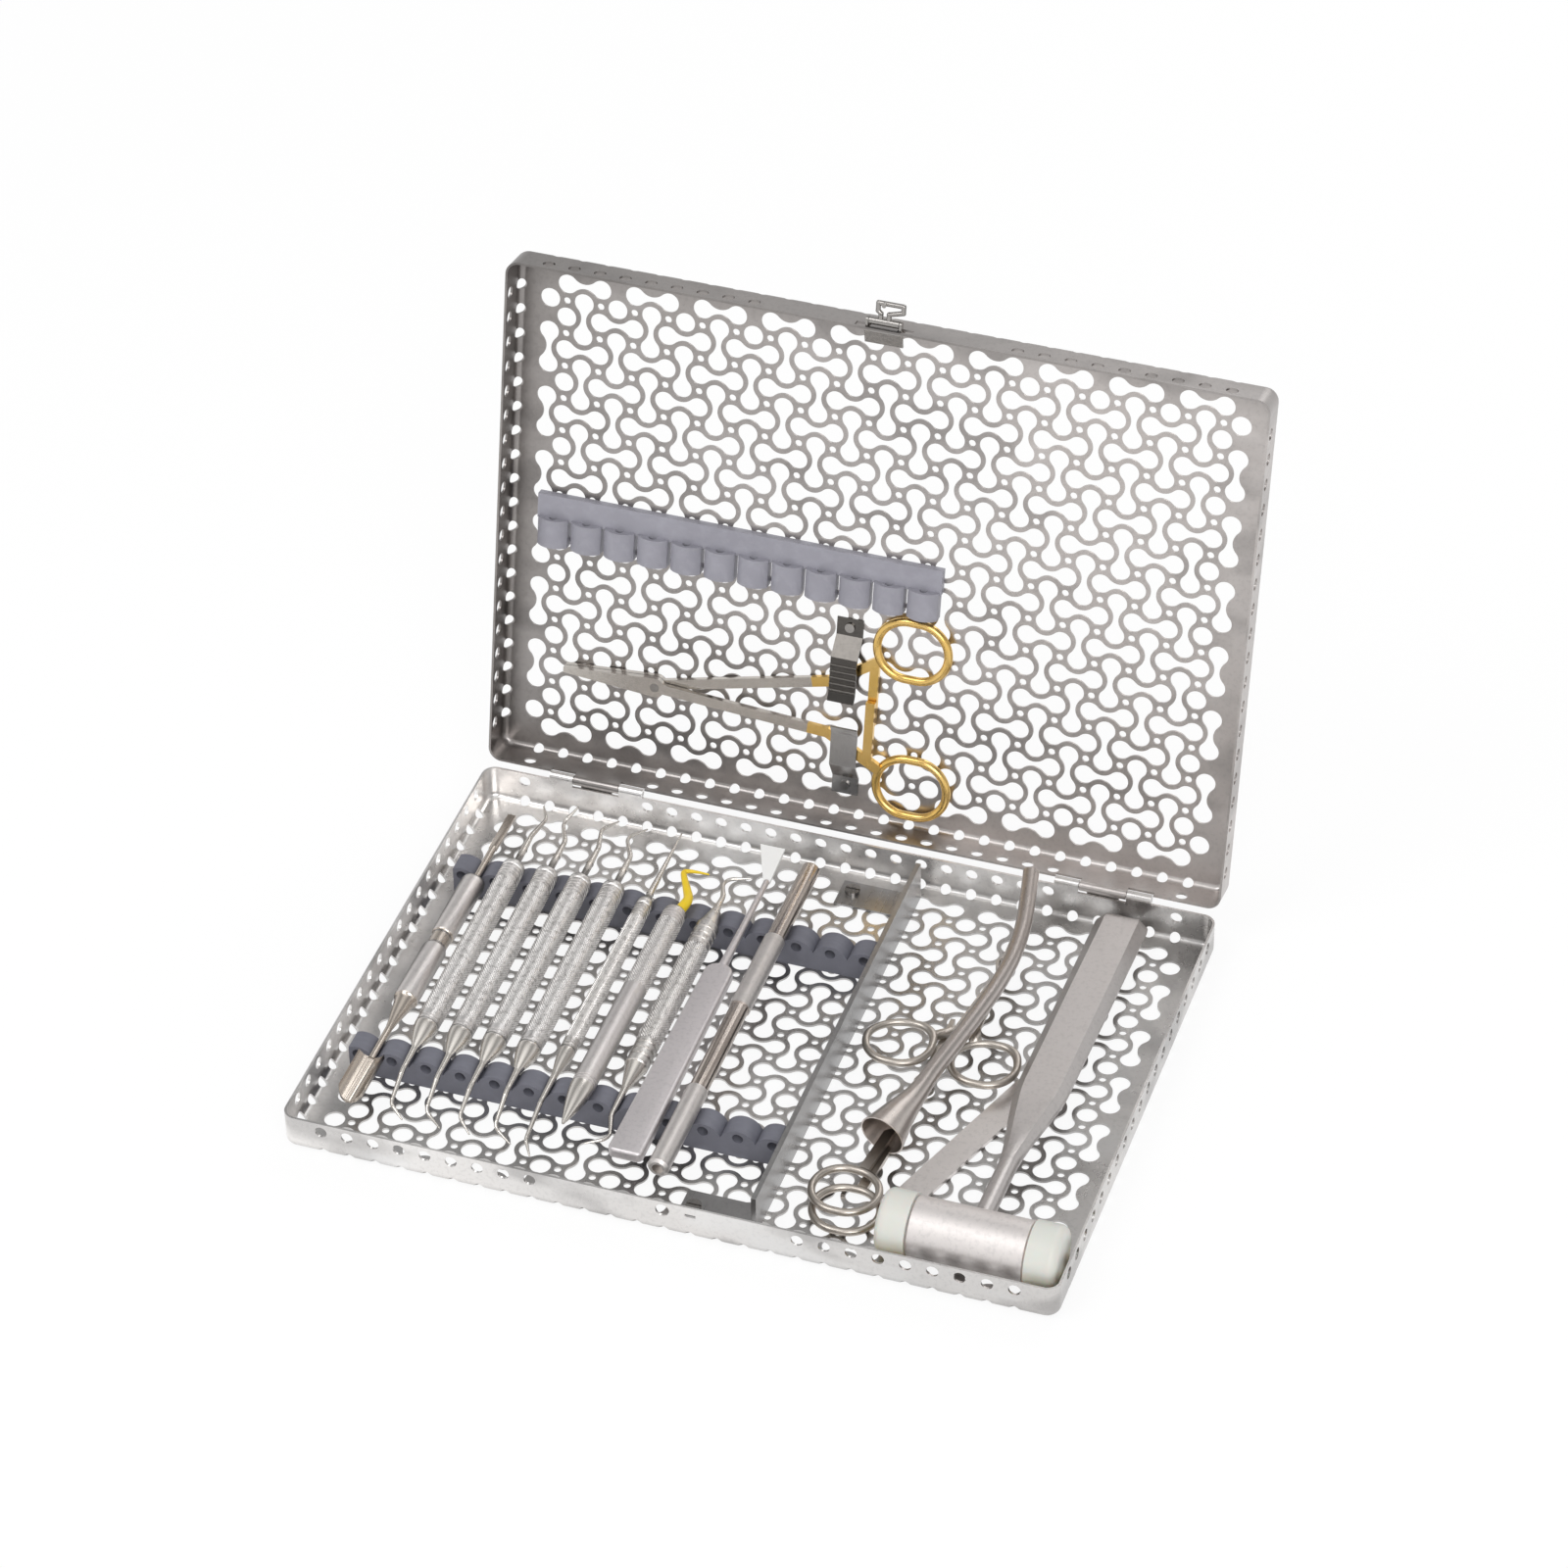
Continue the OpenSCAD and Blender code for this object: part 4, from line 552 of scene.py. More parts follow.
@dataclass(frozen=True)
class Nylon(Finish):
    """Turned nylon with painted light and shade by height: pale greenish white on top, darker deeper cream
    below.
    """

    # under: painted shade colour of the underside
    under: Colour = (0.62, 0.53, 0.33)
    low: float = 5.0
    high: float = 15.5
    drift: float = 0.35
    rough: float = 0.42
    rough_sway: float = 0.14
    soft: float = 0.25

    def weave(self, graph: Graph) -> tuple[dict[str, object], dict[str, object]]:
        """Builds the graded nylon; see Finish.weave."""
        rise = (graph.height("Z") / MM - self.low) / (self.high - self.low)
        cloud = graph.noise(graph.place, 45.0, 3.0, 0.5)
        rise = (rise + (cloud - 0.5) * self.drift).clamped()
        turned = graph.noise(graph.stretched((1400.0, 10.0, 10.0)), 1.0, 2.0, 0.5)
        # painted light and shade: grades from the darker under colour low down to the pale colour on top
        tone = graph.blend(rise, self.under, self.colour)
        return ({"Base Color": tone, "Roughness": self.rough + (cloud - 0.5) * self.rough_sway,
                 "Normal": graph.bump(turned, 0.1)},
                {"Metallic": 0.0, "Subsurface Weight": self.soft, "Subsurface Scale": GLOW_DEPTH})


# tray fades: painted shade darkening the floor of the tray and its right side
TRAY_STEEL = Steel("tray_steel", (0.87, 0.845, 0.84), rough=0.3, line_depth=0.04, cloud=0.18, stain_and_painted_highlight=0.4,
                   painted_light_fades=(("Z", 0.85, 3.5, 0.68, 1.0), ("X", -140.0, 140.0, 1.0, 0.68)))
# lid steel: the tray steel made darker for the standing lid, painted shade; its fades paint the left side
# darker, the right lighter and the top edge darker
LID_SHADED_STEEL = Steel("lid_steel", (0.49, 0.465, 0.455), rough=0.32, line_depth=0.04, cloud=0.14, stain_and_painted_highlight=0.3,
                  painted_light_fades=(("X", -140.0, 140.0, 0.6, 1.12), ("Z", 196.0, 208.0, 1.0, 0.68)))
DIVIDER_STEEL = Steel("divider_steel", (0.30, 0.30, 0.305), rough=0.3, grain=Grain.ALONG_Y, cloud=0.4)
FASTENER_STEEL = Steel("fastener_steel", (0.34, 0.33, 0.32), rough=0.2)
SPRING_STEEL = Steel("spring_steel", (0.10, 0.095, 0.09), rough=0.16, cloud=0.3)
CLIP_STEEL = Steel("clip_steel", (0.36, 0.36, 0.36), rough=0.22, grain=Grain.ALONG_X, cloud=0.3)
HOLDER_STEEL = Steel("holder_steel", (0.50, 0.48, 0.455), rough=0.24, grain=Grain.ALONG_X, warmth=0.1)
# rim on these handle finishes and on KNURL_STEEL: painted shade towards their outlines
CURETTE_STEEL = BandedSteel("curette_steel", (0.93, 0.895, 0.88), rough=0.38, grain=Grain.ROUND_Y, cloud=0.18,
                            line_depth=0.02, speck=0.7, rim=0.85, satin=((-41.0, 48.6),))
SHORT_STEEL = BandedSteel("short_steel", (0.90, 0.86, 0.835), rough=0.36, grain=Grain.ROUND_Y, cloud=0.18,
                          line_depth=0.02, speck=0.7, rim=0.85, satin=((-37.0, 46.0),))
PROBE_STEEL = BandedSteel("probe_steel", (0.80, 0.775, 0.77), rough=0.44, grain=Grain.ALONG_Y, cloud=0.08,
                          line_depth=0.02, rim=0.8, satin=((-56.0, 40.0),), dark=((40.6, 42.6),))
ELEVATOR_STEEL = BandedSteel("elevator_steel", (0.84, 0.81, 0.80), rough=0.38, grain=Grain.ROUND_Y, rim=0.8,
                             line_depth=0.02, satin=((-28.4, 0.4), (7.6, 39.2)),
                             dark=((0.6, 1.6), (6.2, 7.4)), polish=(0.66, 0.59, 0.52))
SATIN_STEEL = Steel("satin_steel", (0.70, 0.675, 0.69), rough=0.46, grain=Grain.ALONG_Y, cloud=0.06)
SLEEVE_STEEL = Steel("sleeve_steel", (0.62, 0.60, 0.59), rough=0.46, grain=Grain.ROUND_Y, cloud=0.1)
CORE_STEEL = Steel("core_steel", (0.44, 0.405, 0.38), rough=0.16, grain=Grain.ALONG_Y, warmth=0.1)
HEAD_STEEL = Steel("head_steel", (0.69, 0.665, 0.66), rough=0.5, grain=Grain.ROUND_X, line_depth=0.12)
GRIP_STEEL = Steel("grip_steel", (0.54, 0.52, 0.515), rough=0.38, grain=Grain.ALONG_Y, cloud=0.06)
KNURL_STEEL = Steel("knurl_steel", (0.93, 0.89, 0.865), rough=0.3, cloud=0.18, speck=0.75, rim=0.85)
RING_STEEL = Steel("ring_steel", (0.46, 0.43, 0.395), rough=0.32, line_depth=0.015, warmth=0.08, cloud=0.15)
TUBE_STEEL = Steel("tube_steel", (0.51, 0.475, 0.455), rough=0.3, grain=Grain.ALONG_Y, line_depth=0.03,
                   warmth=0.06, cloud=0.12)
SPATULA_STEEL = Steel("spatula_steel", (0.68, 0.655, 0.645), rough=0.36, grain=Grain.ALONG_Y, cloud=0.07)
GOLD_PLATE = Gold("gold_plate", (0.80, 0.52, 0.15))
RAIL_SILICONE = Silicone("rail_silicone", (0.15, 0.152, 0.182))
PAD_SILICONE = Silicone("pad_silicone", (0.30, 0.295, 0.335), rough=0.45)
YELLOW_PLASTIC = Plastic("yellow_plastic", (0.88, 0.62, 0.02), soft=0.1)
WHITE_PLASTIC = Plastic("white_plastic", (0.93, 0.93, 0.92))
NYLON = Nylon("nylon", (0.635, 0.64, 0.595))


# Sub-assemblies


def finished(name: str, mesh: bpy.types.Mesh, body: str, finish: Finish,
             stands_for: tuple[str, ...] = ()) -> bpy.types.Object:
    """Makes a mesh a piece of one finish that rides on a body.

    Args:
        name: the piece's name.
        mesh: its mesh, in the row frame.
        body: the CAD body that it moves with.
        finish: its finish.
        stands_for: the names of the CAD nodes that it replaces.

    Returns:
        The piece.
    """
    mesh.materials.clear()
    mesh.materials.append(finish.material())
    mesh.polygons.foreach_set("material_index", [0] * len(mesh.polygons))
    piece = bpy.data.objects.new(name, mesh)
    bpy.context.scene.collection.objects.link(piece)
    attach(piece, body)
    if stands_for:
        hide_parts(*stands_for)
    LOG.info("%s: %d faces on %s", name, len(mesh.polygons), body)
    return piece


def grow(name: str, body: str, tree: bpy.types.NodeTree, values: dict[str, object],
         finish: Finish, place: Matrix) -> bpy.types.Object:
    """Runs a Geometry Nodes tree once and keeps its result as a plain mesh that rides on a body.

    Args:
        name: the new piece's name.
        body: the CAD body that it moves with.
        tree: the Geometry Nodes tree.
        values: its inputs by name, without the material.
        finish: the finish of the result.
        place: where the result goes in the row frame.

    Returns:
        The finished piece.
    """
    seed = bpy.data.objects.new(name + "_seed", bpy.data.meshes.new(name + "_seed"))
    bpy.context.scene.collection.objects.link(seed)
    modifier = seed.modifiers.new("grow", "NODES")
    modifier.node_group = tree
    given = {**values, "Material": finish.material()}
    for item in tree.interface.items_tree:
        if item.item_type == "SOCKET" and item.in_out == "INPUT" and item.name in given:
            modifier[item.identifier] = given[item.name]
    graph = bpy.context.evaluated_depsgraph_get()
    mesh = bpy.data.meshes.new_from_object(seed.evaluated_get(graph))
    mesh.transform(place)
    mesh.name = name
    seed.modifiers.remove(modifier)
    bpy.data.objects.remove(seed)
    return finished(name, mesh, body, finish)


class TreeKit:
    """Builds a Geometry Nodes tree with named inputs."""

    def __init__(self, name: str, inputs: dict[str, tuple[str, object]]) -> None:
        """Makes the tree and its interface.

        Args:
            name: the tree's name.
            inputs: input names with socket type and default value.
        """
        self.tree = bpy.data.node_groups.new(name, "GeometryNodeTree")
        for label, (kind, value) in inputs.items():
            socket = self.tree.interface.new_socket(label, in_out="INPUT", socket_type=kind)
            if value is not None:
                socket.default_value = value
        self.tree.interface.new_socket("Geometry", in_out="OUTPUT", socket_type="NodeSocketGeometry")
        self.graph = Graph(self.tree)
        self.inputs = self.graph.raw("NodeGroupInput")

    def value(self, label: str) -> Signal:
        """Named input as a signal."""
        return Signal(self.graph, self.inputs.outputs[label])

    def vector(self, x: object, y: object, z: object) -> Signal:
        """Vector from three parts."""
        return self.graph.node("ShaderNodeCombineXYZ", None, {0: x, 1: y, 2: z})

    def close(self, instances: Signal) -> bpy.types.NodeTree:
        """Realizes the instances, shades them flat, sets the material and ends the tree.

        Args:
            instances: the geometry to finish.

        Returns:
            The finished tree.
        """
        real = self.graph.node("GeometryNodeRealizeInstances", None, {0: instances})
        shaded = self.graph.node("GeometryNodeSetShadeSmooth", None,
                                 {"Geometry": real, "Shade Smooth": False})
        dressed = self.graph.node("GeometryNodeSetMaterial", None,
                                  {"Geometry": shaded, "Material": self.value("Material")})
        self.graph.raw("NodeGroupOutput", None, {0: dressed})
        return self.tree


def knurl_tree() -> bpy.types.NodeTree:
    """Tree of small pyramids set in staggered rows round a cylinder along Y.

    Returns:
        The tree, with inputs Radius, Length, Along, Around, Depth, Side and Material.
    """
    kit = TreeKit("knurl", {
        "Radius": ("NodeSocketFloat", 0.0043), "Length": ("NodeSocketFloat", 0.03),
        "Along": ("NodeSocketInt", 20), "Around": ("NodeSocketInt", 24),
        "Depth": ("NodeSocketFloat", 0.0002), "Side": ("NodeSocketFloat", 0.0006),
        "Material": ("NodeSocketMaterial", None)})
    graph = kit.graph
    turn = 2.0 * math.pi
    step = turn / kit.value("Around")
    grid = graph.node("GeometryNodeMeshGrid", None, {
        "Size X": kit.value("Length"), "Size Y": turn - step,
        "Vertices X": kit.value("Along"), "Vertices Y": kit.value("Around")})
    spot = graph.node("GeometryNodeInputPosition")
    parts = graph.raw("ShaderNodeSeparateXYZ", None, {0: spot})
    along, angle = Signal(graph, parts.outputs[0]), Signal(graph, parts.outputs[1])
    index = graph.node("GeometryNodeInputIndex")
    row = graph.node("ShaderNodeMath", {"operation": "FLOOR"}, {0: index / kit.value("Around")})
    odd = graph.node("ShaderNodeMath", {"operation": "MODULO"}, {0: row, 1: 2.0})
    angle = angle + odd * step * 0.5
    cosine = graph.node("ShaderNodeMath", {"operation": "COSINE"}, {0: angle})
    sine = graph.node("ShaderNodeMath", {"operation": "SINE"}, {0: angle})
    radius = kit.value("Radius")
    kept = graph.node("GeometryNodeStoreNamedAttribute", {"data_type": "FLOAT_VECTOR", "domain": "POINT"}, {
        "Geometry": grid, "Name": "outward", "Value": kit.vector(cosine, 0.0, sine)})
    ring = graph.node("GeometryNodeSetPosition", None, {
        "Geometry": kept, "Position": kit.vector(cosine * radius, along, sine * radius)})
    named = graph.node("GeometryNodeInputNamedAttribute", {"data_type": "FLOAT_VECTOR"}, {"Name": "outward"})
    facing = graph.node("FunctionNodeAlignRotationToVector", {"axis": "Z"}, {"Vector": named})
    tooth = graph.node("GeometryNodeMeshCone", {"fill_type": "NONE"}, {
        "Vertices": 4, "Radius Top": 0.0, "Radius Bottom": kit.value("Side"), "Depth": kit.value("Depth")})
    many = graph.node("GeometryNodeInstanceOnPoints", None,
                      {"Points": ring, "Instance": tooth, "Rotation": facing})
    return kit.close(many)


def rib_tree() -> bpy.types.NodeTree:
    """Tree of ribs across X, set in a straight row along Y.

    Returns:
        The tree, with inputs Length, Count, Width, Radius, Sides and Material.
    """
    kit = TreeKit("ribs", {
        "Length": ("NodeSocketFloat", 0.01), "Count": ("NodeSocketInt", 8),
        "Width": ("NodeSocketFloat", 0.003), "Radius": ("NodeSocketFloat", 0.0003),
        "Sides": ("NodeSocketInt", 4), "Material": ("NodeSocketMaterial", None)})
    graph = kit.graph
    step = kit.value("Length") / (kit.value("Count") - 1)
    line = graph.node("GeometryNodeMeshLine", {"mode": "OFFSET"}, {
        "Count": kit.value("Count"), "Start Location": kit.vector(0.0, kit.value("Length") * -0.5, 0.0),
        "Offset": kit.vector(0.0, step, 0.0)})
    rib = graph.node("GeometryNodeMeshCylinder", {"fill_type": "NGON"}, {
        "Vertices": kit.value("Sides"), "Radius": kit.value("Radius"), "Depth": kit.value("Width")})
    many = graph.node("GeometryNodeInstanceOnPoints", None,
                      {"Points": line, "Instance": rib, "Rotation": (0.0, math.pi / 2, 0.0)})
    return kit.close(many)


def smooth_path(stations: list[tuple[float, ...]], steps: int) -> list[tuple[float, ...]]:
    """Points of a smooth curve through stations.

    Args:
        stations: the points to pass through, of any number of coordinates.
        steps: how many pieces each span is cut into.

    Returns:
        The curve's points, from the first station to the last.
    """
    spread = [stations[0], *stations, stations[-1]]
    curve = []
    for a, b, c, d in zip(spread, spread[1:], spread[2:], spread[3:]):
        for step in range(steps):
            t = step / steps
            curve.append(tuple(
                0.5 * (2 * q + (r - p) * t + (2 * p - 5 * q + 4 * r - w) * t * t
                       + (3 * q - p - 3 * r + w) * t ** 3)
                for p, q, r, w in zip(a, b, c, d)))
    return [*curve, stations[-1]]


class Skin:
    """Mesh under construction, in millimetres, made of rings of points that are joined one to the next."""

    def __init__(self) -> None:
        """Starts empty."""
        self.points: list[Vector] = []
        self.faces: list[tuple[int, ...]] = []

    def loft(self, rings: list[list[Vector]], loop: bool = False) -> "Skin":
        """Joins rings that have the same number of points.

        Args:
            rings: the rings in order.
            loop: whether the last ring is joined to the first; otherwise both ends are capped.

        Returns:
            This skin.
        """
        first, count, total = len(self.points), len(rings[0]), len(rings)
        for ring in rings:
            self.points.extend(ring)
        for row in range(total if loop else total - 1):
            here, there = first + row * count, first + (row + 1) % total * count
            for k in range(count):
                after = (k + 1) % count
                self.faces.append((here + k, here + after, there + after, there + k))
        if not loop:
            self.faces.append(tuple(range(first, first + count)))
            self.faces.append(tuple(range(first + (total - 1) * count, first + total * count)))
        return self

    def turn(self, profile: list[tuple[float, float]], sides: int = 40) -> "Skin":
        """Turns a profile round the Y axis.

        Args:
            profile: pairs of place along Y and radius, from one end to the other.
            sides: how many points each ring has.

        Returns:
            This skin.
        """
        return self.loft([circle(Vector((0.0, y, 0.0)), Vector((1, 0, 0)), Vector((0, 0, 1)), r, sides)
                          for y, r in profile])

    def tube(self, path: list[tuple[float, float, float, float]], sides: int = 20) -> "Skin":
        """Round bar along a path whose points carry a radius.

        Args:
            path: points with x, y, z and radius.
            sides: how many points each ring has.

        Returns:
            This skin.
        """
        return self.loft(tube_rings(path, sides))

    def piece(self, name: str, body: str, slot: str, finish: Finish, stands_for: list[str],
              place: Matrix | None = None, kept: list[bpy.types.Mesh] | None = None,
              crease: float = 32.0) -> bpy.types.Object:
        """Turns the skin into a finished piece that stands for CAD nodes.

        Args:
            name: the piece's name.
            body: the CAD body that it rides on.
            slot: a material slot's name, not used.
            finish: its finish.
            stands_for: the names of the CAD nodes that it replaces.
            place: the matrix from the skin's frame, in metres.
            kept: meshes in the row frame that become part of the piece.
            crease: the angle from which an edge is sharp, in degrees.

        Returns:
            The piece.
        """
        mesh = bpy.data.meshes.new(name)
        mesh.from_pydata([point * MM for point in self.points], [], self.faces)
        if place is not None:
            mesh.transform(place)
        work = bmesh.new()
        work.from_mesh(mesh)
        for extra in kept or []:
            work.from_mesh(extra)
        bmesh.ops.remove_doubles(work, verts=work.verts, dist=MERGE)
        bmesh.ops.recalc_face_normals(work, faces=work.faces)
        work.to_mesh(mesh)
        work.free()
        mesh.shade_smooth()
        mesh.set_sharp_from_angle(angle=math.radians(crease))
        return finished(name, mesh, body, finish, tuple(stands_for))


def circle(middle: Vector, across: Vector, up: Vector, radius: float, sides: int) -> list[Vector]:
    """Ring of points.

    Args:
        middle: its middle.
        across: unit vector of its first axis.
        up: unit vector of its second axis.
        radius: its radius.
        sides: how many points it has.

    Returns:
        The points.
    """
    step = 2.0 * math.pi / sides
    return [middle + radius * (math.cos(k * step) * across + math.sin(k * step) * up) for k in range(sides)]


def tube_rings(path: list[tuple[float, float, float, float]], sides: int) -> list[list[Vector]]:
    """Rings square to a path whose points carry a radius.

    Args:
        path: points with x, y, z and radius.
        sides: how many points each ring has.

    Returns:
        The rings.
    """
    spots = [Vector(point[:3]) for point in path]
    rings = []
    across = Vector((1, 0, 0))
    for k, point in enumerate(path):
        ahead = (spots[min(k + 1, len(spots) - 1)] - spots[max(k - 1, 0)]).normalized()
        across = (across - ahead * across.dot(ahead)).normalized()
        rings.append(circle(spots[k], across, ahead.cross(across), point[3], sides))
    return rings


def cut_end(node: bpy.types.Object, spot: Vector, away: Vector) -> bpy.types.Mesh:
    """Closed copy of the end of a CAD node that lies beyond a plane.

    Args:
        node: the CAD node, which isn't changed.
        spot: a point of the plane, in metres.
        away: the plane's normal, towards the end that is kept.

    Returns:
        The copy, in the row frame.
    """
    work = bmesh.new()
    work.from_mesh(node.data)
    bmesh.ops.remove_doubles(work, verts=work.verts, dist=MERGE)
    geometry = [*work.verts, *work.edges, *work.faces]
    made = bmesh.ops.bisect_plane(work, geom=geometry, dist=CUT_REACH, plane_co=spot, plane_no=away,
                                  clear_inner=True)
    rim = [item for item in made["geom_cut"] if isinstance(item, bmesh.types.BMEdge)]
    bmesh.ops.contextual_create(work, geom=rim)
    end = bpy.data.meshes.new(node.name + "_end")
    work.to_mesh(end)
    work.free()
    return end


def dress(nodes: dict[str, bpy.types.Object], names: list[str], finish: Finish) -> None:
    """Gives CAD nodes a finish.

    Args:
        nodes: the frame's nodes.
        names: the nodes to dress.
        finish: their finish.
    """
    for name in names:
        piece = nodes[name]
        piece.data.materials.clear()
        piece.data.materials.append(finish.material())
        LOG.info("%s: %s", name, finish.name)


def lid_place(x: float, y: float, z: float) -> Matrix:
    """Place on the open lid of a point given in the closed cassette.

    Args:
        x: from left to right.
        y: from front to back.
        z: height.

    Returns:
        The matrix that carries a piece made round the origin to that point.
    """
    hinge = Vector(LID_HINGE) * MM
    lean = Matrix.Rotation(math.radians(-LID_LEAN), 4, "X")
    swing = Matrix.Translation(hinge) @ lean @ Matrix.Translation(-hinge)
    return swing @ Matrix.Translation(Vector((x, y, z)) * MM)


@dataclass
class Trays:
    """Both perforated trays with hinges, divider, latch and fasteners."""

    nodes: dict[str, bpy.types.Object]

    def build(self) -> None:
        """Dresses the trays and their fasteners."""
        dress(self.nodes, ["base_tray"], TRAY_STEEL)
        dress(self.nodes, ["lid_tray"], LID_SHADED_STEEL)
        dress(self.nodes, ["divider"], DIVIDER_STEEL)
        dress(self.nodes, ["hinge_pins", "rail_studs", "lid_rail_studs", "divider_screws", "rivets",
                           "latch_bracket", "latch_pin", "latch_loop"], FASTENER_STEEL)


@dataclass
class Rails:
    """Silicone rails of the base and the padded strip of the lid."""

    nodes: dict[str, bpy.types.Object]

    def build(self) -> None:
        """Dresses the rails."""
        dress(self.nodes, ["front_rail", "rear_rail"], RAIL_SILICONE)
        dress(self.nodes, ["lid_rail"], PAD_SILICONE)


@dataclass
class Clips:
    """Leaf springs of the lid; the upper one has pressed ridges across it. Places are for the closed lid."""

    nodes: dict[str, bpy.types.Object]
    x: float = -8.0
    face_z: float = 22.2
    ridge_mid: float = 42.0
    ridge_len: float = 10.0
    ridge_count: int = 5
    ridge_r: float = 0.5
    width: float = 10.0

    def build(self) -> None:
        """Dresses the clips and presses the ridges."""
        dress(self.nodes, ["clip_upper"], SPRING_STEEL)
        dress(self.nodes, ["clip_lower"], CLIP_STEEL)
        grow("clip_ridges", "lid", rib_tree(), {
            "Length": self.ridge_len * MM, "Count": self.ridge_count, "Width": self.width * MM,
            "Radius": self.ridge_r * MM, "Sides": 12,
        }, SPRING_STEEL, lid_place(self.x, self.ridge_mid, self.face_z))


@dataclass
class NeedleHolder:
    """Needle holder in the lid, with gold rings and a toothed ratchet. Places are for the closed lid."""

    nodes: dict[str, bpy.types.Object]
    ratchet_x: float = 2.7
    ratchet_mid: float = 55.0
    ratchet_z: float = 25.25
    ratchet_len: float = 8.8
    tooth_count: int = 12
    tooth_r: float = 0.24
    tooth_w: float = 2.8

    def build(self) -> None:
        """Dresses the halves and cuts the ratchet teeth."""
        dress(self.nodes, ["holder_arm_a", "holder_arm_b"], HOLDER_STEEL)
        dress(self.nodes, ["holder_bow_a", "holder_bow_b"], GOLD_PLATE)
        dress(self.nodes, ["holder_screw"], FASTENER_STEEL)
        grow("ratchet_teeth", "needle_holder_b", rib_tree(), {
            "Length": self.ratchet_len * MM, "Count": self.tooth_count, "Width": self.tooth_w * MM,
            "Radius": self.tooth_r * MM, "Sides": 4,
        }, GOLD_PLATE, lid_place(self.ratchet_x, self.ratchet_mid, self.ratchet_z))


class Row(IntEnum):
    """Places of the instruments on the rails, from the left; curettes 1 to 4 lie at their own number."""

    ELEVATOR = 0
    FINE_PROBE = 5
    PROBE = 6
    SCALER = 7
    CHISEL = 8


@dataclass(frozen=True)
class Handle:
    """Round handle that tapers to the front and ends blunt at the rear.

    The front is where its taper begins, the rear where its end begins to round, and the tail where the
    CAD's rear shank takes over. The nose is the radius of the taper's tip.
    """

    radius: float
    front: float
    rear: float
    tail: float
    cone: float = 11.0
    nose: float = 1.3


@dataclass
class HandInstruments:
    """The row of instruments on the rails.

    A band is the middle and the length of a knurled stretch along Y. The sleeves and the rod are pairs
    of place along Y and radius, and the path of the tip is pairs of a point seen from above and a radius.
    """

    nodes: dict[str, bpy.types.Object]
    first: float = -121.8
    pitch: float = 12.8
    rear_y: float = 47.2
    span: float = 101.0
    dome_z: float = 6.0
    dome_r: float = 6.8
    gap: float = 0.3
    thick_r: float = 4.3
    front_rest_r: float = 2.0
    rear_rest_r: float = 3.0
    shank_r: float = 1.3
    curettes: int = 4
    curette: Handle = Handle(radius=4.3, front=-41.0, rear=46.0, tail=57.0)
    fine: Handle = Handle(radius=3.0, front=-37.0, rear=43.5, tail=50.0)
    probe: Handle = Handle(radius=4.3, front=-56.0, rear=39.8, tail=42.4, cone=19.0, nose=0.5)
    curette_band: tuple[float, float] = (1.0, 72.0)
    fine_band: tuple[float, float] = (2.0, 66.0)
    scaler_band: tuple[float, float] = (1.0, 51.0)
    probe_band: tuple[float, float] = (16.0, 36.0)
    knurl_depth: float = 0.26
    knurl_sink: float = 0.06
    knurl_around: int = 26
    knurl_step: float = 0.62
    taper_steps: int = 9
    taper_bow: float = 1.5
    ridge_depth: float = 0.28
    ridge_pitch: float = 1.5
    ridge_cut: float = 0.6
    ridge_slope: float = 0.12
    ridge_counts: tuple[int, int] = (2, 5)
    ridge_gaps: tuple[float, float] = (1.0, 0.6)
    blunt_len: float = 2.4
    blunt_r: float = 1.9
    blunt_step: int = 15
    lip: float = 0.15
    overlap: float = 0.6
    sleeves: tuple[tuple[float, float], ...] = (
        (-46.0, 1.3), (-44.0, 1.3), (-40.0, 1.8), (-34.0, 2.9), (-30.0, 3.6), (-28.8, 3.8), (-28.6, 4.2),
        (-27.8, 4.5), (-0.6, 4.5), (0.3, 4.2), (0.6, 3.7), (7.4, 3.7), (7.7, 4.1), (8.4, 4.3), (37.6, 4.5),
        (38.8, 4.2), (39.4, 3.4), (39.5, 1.3), (41.5, 1.3))
    flat_front: float = -84.0
    flat_rear: float = 18.5
    flat_front_w: float = 12.6
    flat_rear_w: float = 10.4
    flat_front_r: float = 2.4
    flat_rear_r: float = 4.6
    flat_edge_r: float = 1.1
    flat_edge_step: int = 18
    flat_corner_step: int = 10
    flat_z: float = 13.1
    flat_t: float = 4.5
    rod: tuple[tuple[float, float], ...] = ((16.0, 1.9), (19.5, 1.75), (30.0, 1.45), (44.0, 1.2), (67.4, 1.1))
    tip_path: tuple[tuple[tuple[float, float], float], ...] = (
        ((-44.4, 41.0), 1.9), ((-43.6, 45.0), 2.0), ((-43.2, 49.6), 1.8), ((-45.4, 54.5), 1.5),
        ((-48.8, 61.0), 1.15), ((-49.4, 63.2), 1.0), ((-47.6, 64.2), 0.75), ((-44.0, 64.6), 0.5),
        ((-40.4, 64.6), 0.3))

    def rest_height(self, radius: float) -> float:
        """Height of the axis of a round piece between two domes."""
        reach = self.dome_r + radius + self.gap
        return self.dome_z + math.sqrt(reach * reach - (self.pitch / 2) ** 2)

    def seat(self, place: int, z_rear: float, z_front: float, middle: float) -> Matrix:
        """Place on the axis of an instrument that lies on both rails.

        Args:
            place: the instrument's number from the left.
            z_rear: height of its axis over the rear rail.
            z_front: height of its axis over the front rail.
            middle: where the piece's origin goes from front to back.

        Returns:
            The matrix that carries a piece made round the origin to that place.
        """
        tilt = math.asin((z_rear - z_front) / self.span)
        spot = Vector((self.first + place * self.pitch, self.rear_y, z_rear)) * MM
        return (Matrix.Translation(spot) @ Matrix.Rotation(tilt, 4, "X")
                @ Matrix.Translation(Vector((0.0, middle - self.rear_y, 0.0)) * MM))

